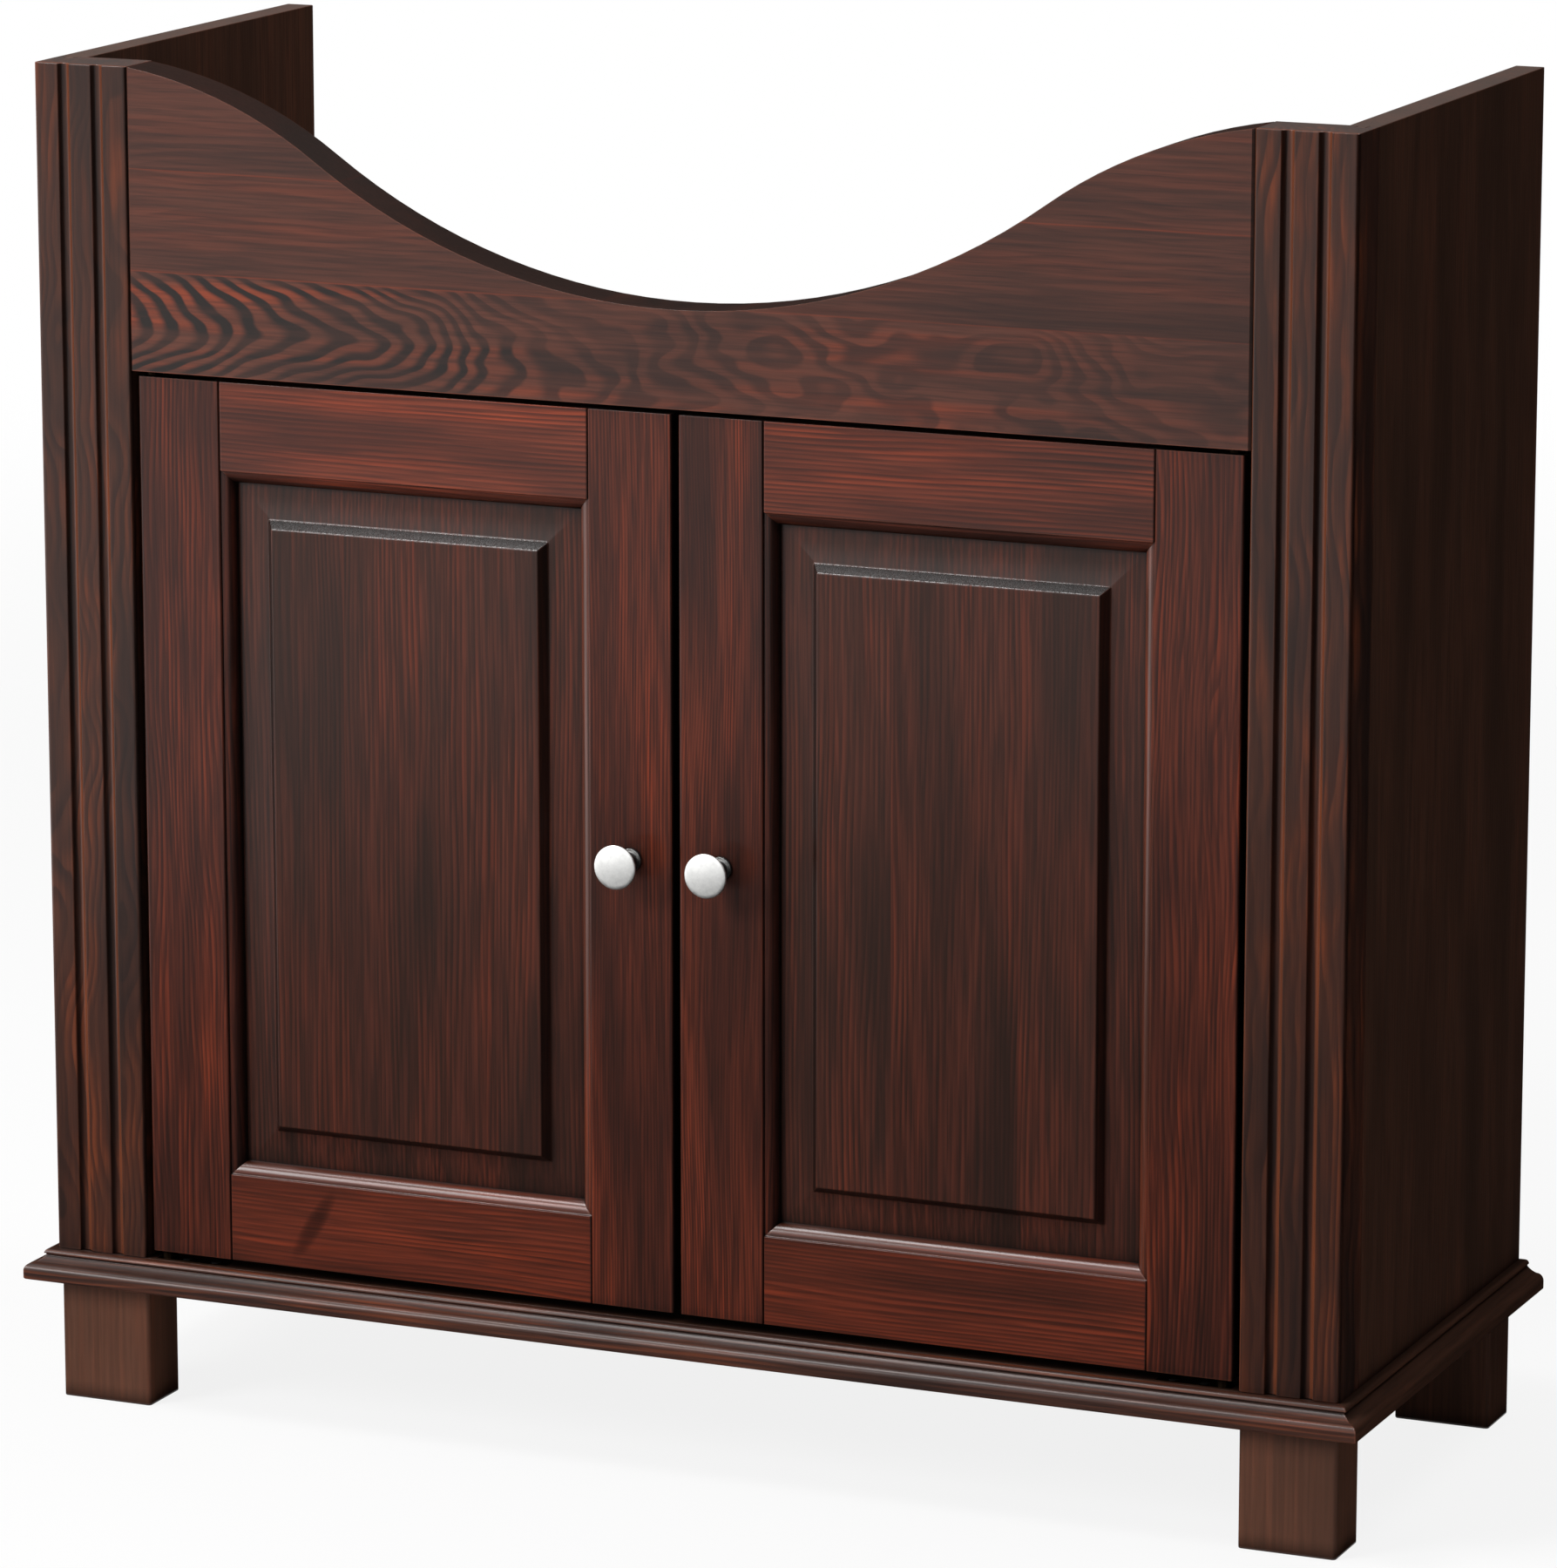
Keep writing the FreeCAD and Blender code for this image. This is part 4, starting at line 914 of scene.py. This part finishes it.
class EasedEdges:
    """Modifiers that round the arrises of a CAD node, keep its flats flat and leave its mesh alone."""

    ANGLE = math.radians(28)
    WELD_REACH = 0.002 * MM
    FLAT_ANGLE = math.radians(0.4)

    def __init__(self) -> None:
        """Make the shading group that all nodes share."""
        self.group = self._shading()

    def _shading(self) -> bpy.types.NodeTree:
        """Make geometry nodes that shade smoothly over edges flatter than the angle.

        Returns:
            The node group.
        """
        group = bpy.data.node_groups.new("smooth_faces", "GeometryNodeTree")
        for direction in ("INPUT", "OUTPUT"):
            group.interface.new_socket("Geometry", in_out=direction, socket_type="NodeSocketGeometry")
        nodes, link = group.nodes, group.links.new
        start, end = nodes.new("NodeGroupInput"), nodes.new("NodeGroupOutput")
        bare = nodes.new("GeometryNodeRemoveAttribute")
        bare.inputs["Name"].default_value = "custom_normal"
        faces = nodes.new("GeometryNodeSetShadeSmooth")
        edges = nodes.new("GeometryNodeSetShadeSmooth")
        edges.domain = "EDGE"
        edges.inputs["Shade Smooth"].default_value = False
        bend = nodes.new("GeometryNodeInputMeshEdgeAngle")
        sharp = nodes.new("FunctionNodeCompare")
        sharp.operation = "GREATER_THAN"
        sharp.inputs[1].default_value = self.ANGLE
        chain = (start, bare, faces, edges, end)
        for before, after in zip(chain, chain[1:]):
            link(before.outputs[0], after.inputs[0])
        link(bend.outputs[0], sharp.inputs[0])
        link(sharp.outputs[0], edges.inputs["Selection"])
        return group

    def apply(self, piece: Object, width: float, segments: int = 3) -> None:
        """Round a piece's edges.

        Args:
            piece: Mesh object to add the modifiers to.
            width: Width of the rounding.
            segments: Faces across the rounding.
        """
        weld = piece.modifiers.new("weld", "WELD")
        weld.merge_threshold = self.WELD_REACH
        flats = piece.modifiers.new("flats", "DECIMATE")
        flats.decimate_type = "DISSOLVE"
        flats.angle_limit = self.FLAT_ANGLE
        ease = piece.modifiers.new("ease", "BEVEL")
        ease.width = width
        ease.segments = segments
        ease.limit_method = "ANGLE"
        ease.angle_limit = self.ANGLE
        ease.use_clamp_overlap = True
        ease.miter_outer = "MITER_ARC"
        shade = piece.modifiers.new("shade", "NODES")
        shade.node_group = self.group
        weigh = piece.modifiers.new("weigh", "WEIGHTED_NORMAL")
        weigh.keep_sharp = True


def arc(middle: tuple[float, float], radius: float, start: float, end: float, steps: int) -> Section:
    """Points of an arc in a half section.

    Args:
        middle: Radius and height of the arc's centre.
        radius: Radius of the arc.
        start: First angle in degrees from the outward direction.
        end: Last angle.
        steps: Number of chords.

    Returns:
        Radius and height of each point.
    """
    angles = [math.radians(start + (end - start) * step / steps) for step in range(steps + 1)]
    return [(middle[0] + radius * math.cos(a), middle[1] + radius * math.sin(a)) for a in angles]


def dome(start: float, base: float, rise: float, rim: float, steps: int) -> Section:
    """Points of a low dome in a half section, from its rim to its top.

    Args:
        start: Radius at which the points begin.
        base: Height of the dome's rim.
        rise: Height of the top above the rim.
        rim: Radius of the rim.
        steps: Number of chords.

    Returns:
        Radius and height of each point.
    """
    curve = (rim**2 + rise**2) / (2 * rise)
    radii = [start * (1 - step / steps) for step in range(1, steps + 1)]
    return [(radius, base + rise - curve + math.sqrt(curve**2 - radius**2)) for radius in radii]


class Turned:
    """Mesh spun round an axis from a half section."""

    ON_AXIS = 1e-6

    def __init__(
        self, name: str, section: Section, segments: int = 96, sink: Sink | None = None
    ) -> None:
        """Spin the section.

        Args:
            name: Name of the piece.
            section: Radius and height of each point, from the foot to the tip.
            segments: Faces round the axis.
            sink: Depth of a recess at a place beside the axis, for points of the upper half.
        """
        mesh = bpy.data.meshes.new(name)
        self.middle = (section[0][1] + section[-1][1]) / 2
        self.sink = sink
        shell = bmesh.new()
        rings = []
        for radius, height in section:
            count = segments if radius > self.ON_AXIS else 1
            turns = [2 * math.pi * step / count for step in range(count)]
            rings.append([shell.verts.new(self._point(radius, height, turn)) for turn in turns])
        for lower, upper in zip(rings, rings[1:]):
            for step in range(segments):
                follow = (step + 1) % segments
                corners = [lower[step % len(lower)], lower[follow % len(lower)]]
                corners += [upper[follow % len(upper)], upper[step % len(upper)]]
                shell.faces.new(list(dict.fromkeys(corners)))
        for face in shell.faces:
            face.smooth = True
        shell.to_mesh(mesh)
        shell.free()
        self.piece = show(name, mesh)

    def _point(self, radius: float, height: float, turn: float) -> Vector:
        """Place a point of the mesh, sunk where the recess is.

        Args:
            radius: Distance from the axis.
            height: Height along the axis.
            turn: Angle round the axis.

        Returns:
            The point.
        """
        across, up = radius * math.cos(turn), radius * math.sin(turn)
        if self.sink and height > self.middle:
            height -= self.sink(across, up)
        return Vector((across, up, height))

    def stand(self, foot: Vector, direction: Vector) -> Object:
        """Set the piece in place.

        Args:
            foot: Point on which its foot stands.
            direction: Way that its axis points.

        Returns:
            The piece.
        """
        self.piece.location = foot
        self.piece.rotation_euler = direction.to_track_quat("Z", "Y").to_euler()
        return self.piece


def stand_for(piece: Object, node: str, body: str, finish: Material) -> None:
    """Let a piece stand for a CAD node.

    Args:
        piece: The finer piece.
        node: Node that it replaces.
        body: Body that it moves with.
        finish: Its material.
    """
    piece.data.materials.append(finish)
    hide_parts(node)
    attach(piece, body)
    LOG.info("turned %s", piece.name)


@dataclass
class Knob:
    """Turned knob of a door, in satin nickel."""

    node: str
    body: str
    foot_radius: float = 5.5 * MM
    foot_height: float = 1.6 * MM
    foot_edge: float = 0.5 * MM
    fillet: float = 1.2 * MM
    neck_radius: float = 3.8 * MM
    head_radius: float = 10.4 * MM
    rim_height: float = 16.6 * MM
    rim_round: float = 0.9 * MM
    dome: float = 0.8 * MM
    reach: float = 19.0 * MM

    def build(self, finish: Material) -> None:
        """Turn the knob and set it in place of its plain solid.

        Args:
            finish: Material of the knob.
        """
        low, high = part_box(self.node)
        foot = Vector(((low.x + high.x) / 2, high.y, (low.z + high.z) / 2))
        piece = Turned(self.node + "_turned", self._section()).stand(foot, Vector((0, -1, 0)))
        stand_for(piece, self.node, self.body, finish)

    def _section(self) -> Section:
        """Draw a foot, a waisted neck, a flare and a low dome.

        Returns:
            Radius and height of each point.
        """
        edge, fillet = self.foot_edge, self.fillet
        foot = [(0.0, 0.0), (self.foot_radius - edge / 2, 0.0), (self.foot_radius, edge / 2)]
        foot += arc((self.foot_radius - edge, self.foot_height - edge), edge, 0, 90, steps=4)
        waist = arc((self.neck_radius + fillet, self.foot_height + fillet), fillet, 270, 180, steps=5)
        sweep = self.head_radius - self.neck_radius - self.rim_round
        flare = arc((self.neck_radius + sweep, self.rim_height - sweep), sweep, 180, 90, steps=14)
        rim_top = self.reach - self.dome
        half = (rim_top - self.rim_height) / 2
        rim = arc((self.head_radius - half, self.rim_height + half), half, -90, 70, steps=8)
        crown = dome(rim[-1][0], rim_top, self.dome, self.head_radius, steps=14)
        return foot + waist + flare + rim + crown


@dataclass
class PanHead:
    """Cross-recessed pan head screw whose head is on the inner side of its board."""

    node: str
    body: str
    shank_radius: float = 1.5 * MM
    head_height: float = 1.8 * MM
    side_share: float = 0.45
    head_edge: float = 0.2 * MM
    recess: float = 1.1 * MM
    arm_share: float = 0.16
    span_share: float = 0.62
    wall_share: float = 0.4
    slope: float = 2.2
    segments: int = 72

    def build(self, finish: Material) -> None:
        """Make the node's screws, one at each end of its box.

        Args:
            finish: Material of the screws.
        """
        low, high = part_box(self.node)
        radius = (high.z - low.z) / 2
        ends = sorted({round(low.x + radius, 6), round(high.x - radius, 6)})
        for number, across in enumerate(ends):
            section = self._section(radius, high.y - low.y)
            turned = Turned(f"{self.node}_pan_{number}", section, self.segments, self._cross(radius))
            piece = turned.stand(Vector((across, low.y, low.z + radius)), Vector((0, 1, 0)))
            stand_for(piece, self.node, self.body, finish)

    def _section(self, radius: float, length: float) -> Section:
        """Draw a point, a shank and a rounded head.

        Args:
            radius: Radius of the head.
            length: Length of the whole screw.

        Returns:
            Radius and height of each point.
        """
        seat = length - self.head_height
        side = self.head_height * self.side_share
        shank = [(0.0, 0.0), (self.shank_radius, 2 * self.shank_radius), (self.shank_radius, seat)]
        rim = [(radius - self.head_edge, seat), (radius, seat + self.head_edge), (radius, seat + side)]
        return shank + rim + dome(radius, seat + side, self.head_height - side, radius, steps=24)

    def _cross(self, radius: float) -> Sink:
        """Shape the cross recess.

        Args:
            radius: Radius of the head.

        Returns:
            Its depth as a function of the place beside the axis.
        """
        half, reach = self.arm_share * radius, self.span_share * radius

        def sink(across: float, up: float) -> float:
            """Measure the recess, deepest in the middle and shallow at the tips of the arms.

            Args:
                across: Distance from the axis along one arm.
                up: Distance along the other.

            Returns:
                The depth.
            """
            near, far = sorted((abs(across), abs(up)))
            near_axis = max(0.0, 1 - far / reach)
            wall = max(0.0, min(1.0, (half - near) / (self.wall_share * half)))
            return min(self.recess, self.slope * self.recess * near_axis) * wall

        return sink


def wear(piece: Object, finish: Material) -> None:
    """Put a finish on every face of a CAD node."""
    for number in range(len(piece.data.materials)):
        piece.data.materials[number] = finish


@dataclass
class Joinery:
    """CAD nodes and what dresses them.

    Attributes:
        nodes: CAD nodes by name.
        edges: Modifiers that ease the edges.
        fittings: Materials of the fittings.
        fitting_arris: Width of the eased edges of the fittings.
    """

    nodes: dict[str, Object]
    edges: EasedEdges
    fittings: dict[Fitting, Material]
    fitting_arris: float = 0.25 * MM

    def dress_boards(self, boards: dict[str, Pine], arris: float) -> None:
        """Finish boards, each with its own grain, and ease their edges.

        Args:
            boards: Finish of each board by its node.
            arris: Width of the eased edges.
        """
        for name, board in boards.items():
            low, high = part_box(name)
            wear(self.nodes[name], board.material(f"pine_{name}", low, high))
            self.edges.apply(self.nodes[name], arris)
            LOG.info("stained %s", name)

    def dress_fittings(self, pieces: dict[str, Fitting]) -> None:
        """Finish fittings and ease their edges.

        Args:
            pieces: Finish of each fitting by its node.
        """
        for name, finish in pieces.items():
            wear(self.nodes[name], self.fittings[finish])
            self.edges.apply(self.nodes[name], self.fitting_arris, segments=2)
            LOG.info("finished %s in %s", name, finish.name.lower())


@dataclass
class Carcass:
    """Boards and fittings that stand still."""

    joinery: Joinery
    arris: float = 0.5 * MM
    apron_stave: float = 47.4 * MM
    flute: float = 2.2 * MM

    def boards(self) -> dict[str, Pine]:
        """Choose the finishes of the boards.

        Returns:
            Finish of each board by its node.
        """
        post, dark = Tone.POST.value, Tone.SIDE.value
        boards = {
            "apron": FlamedPine(
                Grain.LEVEL, Tone.APRON.value, seed=4.0, shade=0.95, pitch=0.0044, figure=0.012,
                figure_length=0.1, figure_breadth=0.03, spread=1.5, stave=self.apron_stave,
                fibres=0.36, patches=0.5,
            ),
            "base_panel": Pine(Grain.FLAT, dark, seed=6.0),
            "front_moulding": Pine(Grain.LEVEL, post, seed=8.0, shade=1.12, coat=0.18),
            "upper_back_rail": Pine(Grain.LEVEL, dark, seed=9.0),
            "lower_back_rail": Pine(Grain.LEVEL, dark, seed=10.0),
        }
        # The left side panel is painted lighter than the right one of the same stain, as painted light
        # on its inner face.
        for side, seed, panel_shade, post_shade, figure in (
            (Side.LEFT, 20.0, 1.3, 0.8, 0.02),
            (Side.RIGHT, 27.0, 1.08, 0.84, 0.009),
        ):
            hand = side.value
            boards[f"{hand}_moulding"] = Pine(Grain.RETURN, dark, seed, coat=0.0)
            boards[f"{hand}_pilaster"] = Pine(
                Grain.UPRIGHT, post, seed + 1, post_shade, pitch=0.005, figure=figure,
                figure_length=0.07, streak=(20, 80), bottom_shade=0.25, fibres=0.3, profile=self.flute,
                lit_flank_light=0.65, crevice_stain_and_shade=0.28, gloss=0.1,
            )
            boards[f"{hand}_side_panel"] = Pine(Grain.SIDE, dark, seed + 2, panel_shade)
            foot = partial(Pine, Grain.UPRIGHT, dark)
            boards[f"{hand}_front_foot"] = foot(seed + 3, shade=1.7, pitch=0.006, fibres=0.3)
            boards[f"{hand}_rear_foot"] = foot(seed + 4, shade=1.3)
        return boards

    def metalwork(self) -> dict[str, Fitting]:
        """Choose the finishes of the fittings.

        Returns:
            Finish of each fitting by its node.
        """
        fittings = {
            "foot_dowels": Fitting.BEECH,
            "carcass_dowels": Fitting.BEECH,
            "pivot_screws": Fitting.STEEL,
            "catch_housing": Fitting.PLASTIC,
            "catch_magnets": Fitting.FERRITE,
        }
        for side in Side:
            for height in ("upper", "lower"):
                fittings[f"{side.value}_{height}_pivot"] = Fitting.BRONZE
        return fittings

    def dress(self) -> None:
        """Give every node of the carcass its finish and eased edges."""
        self.joinery.dress_boards(self.boards(), self.arris)
        self.joinery.dress_fittings(self.metalwork())
        PanHead("catch_screws", "carcass").build(self.joinery.fittings[Fitting.STEEL])


@dataclass
class Door:
    """One door: frame, raised panel, knob and fittings."""

    side: Side
    seed: float
    joinery: Joinery
    knot: Knot | None = None
    arris: float = 0.45 * MM
    panel_arris: float = 0.5 * MM
    sticking: float = 7.4 * MM
    shoulder: float = 4.0 * MM
    stave: float = 62 * MM
    knob_shank: float = 1.8 * MM
    knob_screw_head: float = 2.4 * MM

    def name(self, piece: str) -> str:
        """Name of one of this door's nodes."""
        return f"{self.side.value}_door_{piece}"

    def frame(self) -> dict[str, Pine]:
        """Choose the finishes of the frame.

        Returns:
            Finish of each member by its node.
        """
        red, sill, seed = Tone.FRAME.value, Tone.SILL.value, self.seed
        stile = partial(Pine, Grain.UPRIGHT, red, profile=self.sticking, bottom_shade=0.5)
        rail = partial(Pine, Grain.LEVEL, profile=self.sticking, fibres=0.42)
        members = {
            "hinge_stile": stile(seed, shade=0.9, pitch=0.0028, figure=0.012, figure_length=0.14),
            "meeting_stile": stile(seed + 1, pitch=0.0015),
            "bottom_rail": rail(sill, seed + 2, shade=1.02, gloss=0.18, knot=self.knot),
            "top_rail": rail(red, seed + 3, shade=1.45),
        }
        return {self.name(piece): board for piece, board in members.items()}

    def panel(self) -> dict[str, Pine]:
        """Choose the finish of the raised panel.

        Returns:
            The finish by the panel's node.
        """
        board = Pine(
            Grain.UPRIGHT, Tone.PANEL.value, self.seed + 4, pitch=0.0026, bottom_shade=0.5, stave=self.stave,
            profile=self.shoulder, lit_flank_light=0.0, gloss=0.0, lit_flank_shade=0.8, polish=0.95,
        )
        return {self.name("panel"): board}

    def metalwork(self) -> dict[str, Fitting]:
        """Choose the finishes of the fittings.

        Returns:
            Finish of each fitting by its node.
        """
        return {
            self.name("lower_leaf"): Fitting.BRONZE,
            self.name("upper_leaf"): Fitting.BRONZE,
            self.name("leaf_screws"): Fitting.STEEL,
            self.name("strike"): Fitting.STEEL,
        }

    def dress(self) -> None:
        """Give every node of the door its finish, and turn its knob and screws."""
        self.joinery.dress_boards(self.frame(), self.arris)
        self.joinery.dress_boards(self.panel(), self.panel_arris)
        self.joinery.dress_fittings(self.metalwork())
        body, steel = f"{self.side.value}_door", self.joinery.fittings[Fitting.STEEL]
        Knob(self.name("knob"), body).build(self.joinery.fittings[Fitting.NICKEL])
        PanHead(self.name("strike_screw"), body).build(steel)
        PanHead(self.name("knob_screw"), body, self.knob_shank, self.knob_screw_head).build(steel)


@dataclass
class SoftBox:
    """Square lamp behind a diffuser, aimed at the middle of the cabinet."""

    name: str
    place: Triple
    side: float
    power: float
    aim: Triple = (0.0, 0.0, 0.34)

    def light(self) -> None:
        """Hang the lamp."""
        lamp = bpy.data.lights.new(self.name, "AREA")
        lamp.shape = "SQUARE"
        lamp.size = self.side
        lamp.energy = self.power
        holder = show(self.name, lamp)
        holder.location = self.place
        beam = Vector(self.aim) - Vector(self.place)
        holder.rotation_euler = beam.to_track_quat("-Z", "Y").to_euler()


@dataclass
class Flag:
    """Black cloth that keeps the white room out of reflections and is not seen itself.

    Attributes:
        name: Name of the cloth.
        corners: Its corners in order.
        shades: Whether it also takes up light that the room throws back.
    """

    BLACK = (0.004, 0.004, 0.004, 1.0)

    name: str
    corners: list[Triple]
    shades: bool = False

    def hang(self) -> None:
        """Hang the cloth where mirrored rays meet it."""
        mesh = bpy.data.meshes.new(self.name)
        mesh.from_pydata(self.corners, [], [tuple(range(len(self.corners)))])
        sheet = NodeSheet.of_material(self.name)
        sheet.finish(sheet.add("ShaderNodeBsdfDiffuse", inputs={"Color": self.BLACK}))
        mesh.materials.append(sheet.owner)
        cloth = show(self.name, mesh)
        cloth.visible_camera = False
        cloth.visible_diffuse = self.shades
        cloth.visible_shadow = False
        cloth.visible_transmission = False


@dataclass
class Studio:
    """White room: floor, even light, black flags, soft boxes and the camera of the photograph."""

    floor_radius: float = 4.0
    floor_segments: int = 96
    fade_start: float = 1.1
    fade_end: float = 3.2
    floor_tone: float = 0.86
    floor_glow: float = 0.86
    ambient: float = 0.2
    camera_place: Triple = (1.4024, -3.244, 1.0751)
    camera_pitch: float = -12.283
    camera_yaw: float = 23.387
    camera_reach: float = 50.0
    focal_pixels: float = 8805.0
    image_height: float = 1800.0
    sensor: float = 36.0

    def build(self) -> None:
        """Lay the floor, hang the lamps and set up the camera."""
        bpy.context.scene.view_settings.view_transform = "Standard"
        self._sky()
        self._floor()
        self._flags()
        for box in (
            SoftBox("key_box", (-2.1, -2.7, 2.2), side=1.3, power=82.0),
            SoftBox("top_box", (-0.92, -0.82, 2.5), side=0.8, power=34.0),
            SoftBox("edge_box", (-1.05, -0.62, 0.22), side=0.5, power=1.2),
            SoftBox("rim_box", (1.0, 0.5, 2.5), side=1.0, power=16.0),
            SoftBox("fill_box", (2.4, -3.4, 1.4), side=1.6, power=5.0),
        ):
            box.light()
        self._camera()

    @staticmethod
    def _flags() -> None:
        """Hang black cloths behind, below and beside the cabinet, and one beside the camera."""
        low, high, side_top = 1 * MM, 1.6, 1.2
        left, floor_left, right, beside = -1.4, -0.8, 2.0, 1.0
        front, back = -1.7, 0.6
        near, far = (beside, -0.7), (1.2, -2.6)

        def wall(first: tuple[float, float], second: tuple[float, float], top: float) -> list[Triple]:
            """Corners of an upright cloth over two points of the floor."""
            return [(*first, low), (*second, low), (*second, top), (*first, top)]

        below = [(floor_left, front, low), (right, front, low)]
        below += [(right, back, low), (floor_left, back, low)]
        Flag("back_flag", wall((left, back), (right, back), high)).hang()
        Flag("floor_flag", below).hang()
        Flag("side_flag", wall(near, (beside, back), side_top), shades=True).hang()
        Flag("camera_flag", wall(near, far, high)).hang()

    @staticmethod
    def _seen(sheet: NodeSheet) -> Signal:
        """1 on rays that look at the background, straight, in a mirror or through glass."""
        path = sheet.add("ShaderNodeLightPath", output="Is Camera Ray")
        return path + path.also("Is Glossy Ray") + path.also("Is Transmission Ray")

    def _sky(self) -> None:
        """Light the room evenly, and show white behind the cabinet."""
        world = bpy.data.worlds.new("white_room")
        bpy.context.scene.world = world
        sheet = NodeSheet(world)
        strength = self._seen(sheet) * (1 - self.ambient) + self.ambient
        inputs = {"Color": (1.0, 1.0, 1.0, 1.0), "Strength": strength}
        sheet.finish(sheet.add("ShaderNodeBackground", inputs=inputs), "ShaderNodeOutputWorld")

    def _floor(self) -> None:
        """Lay a pale round floor that fades into the room."""
        mesh = bpy.data.meshes.new("floor")
        disc = bmesh.new()
        bmesh.ops.create_circle(
            disc, cap_ends=True, segments=self.floor_segments, radius=self.floor_radius
        )
        disc.to_mesh(mesh)
        disc.free()
        floor = show("floor", mesh)
        sheet = NodeSheet.of_material("pale_floor")
        distance = sheet.vector("LENGTH", sheet.spot(), output="Value")
        tone = (self.floor_tone, self.floor_tone, self.floor_tone, 1.0)
        lit = sheet.add("ShaderNodeBsdfDiffuse", inputs={"Color": tone})
        white = sheet.add("ShaderNodeEmission")
        glow = self._seen(sheet) * self.floor_glow
        shown = sheet.add("ShaderNodeMixShader", inputs={0: glow, 1: lit, 2: white})
        clear = sheet.add("ShaderNodeBsdfTransparent")
        fade = distance.rise(self.fade_start, self.fade_end)
        sheet.finish(sheet.add("ShaderNodeMixShader", inputs={0: fade, 1: shown, 2: clear}))
        mesh.materials.append(sheet.owner)

    def _camera(self) -> None:
        """Stand the camera where the photograph was taken."""
        data = bpy.data.cameras.new("camera")
        data.sensor_width = self.sensor
        data.lens = self.focal_pixels / self.image_height * self.sensor
        data.clip_end = self.camera_reach
        camera = show("camera", data)
        camera.location = self.camera_place
        tilt, yaw = math.radians(90 + self.camera_pitch), math.radians(self.camera_yaw)
        camera.rotation_euler = (tilt, 0.0, yaw)
        bpy.context.scene.camera = camera


def main() -> None:
    """Dress the cabinet and set up its studio."""
    logging.basicConfig(level=logging.INFO, format="%(name)s: %(message)s")
    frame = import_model()
    fittings = {fitting: fitting.value.material(fitting.name.lower()) for fitting in Fitting}
    joinery = Joinery(frame["nodes"], EasedEdges(), fittings)
    Carcass(joinery).dress()
    Door(Side.LEFT, 40.0, joinery, Knot(-50 * MM, -2 * MM)).dress()
    Door(Side.RIGHT, 60.0, joinery).dress()
    Studio().build()


if __name__ == "__main__":
    main()
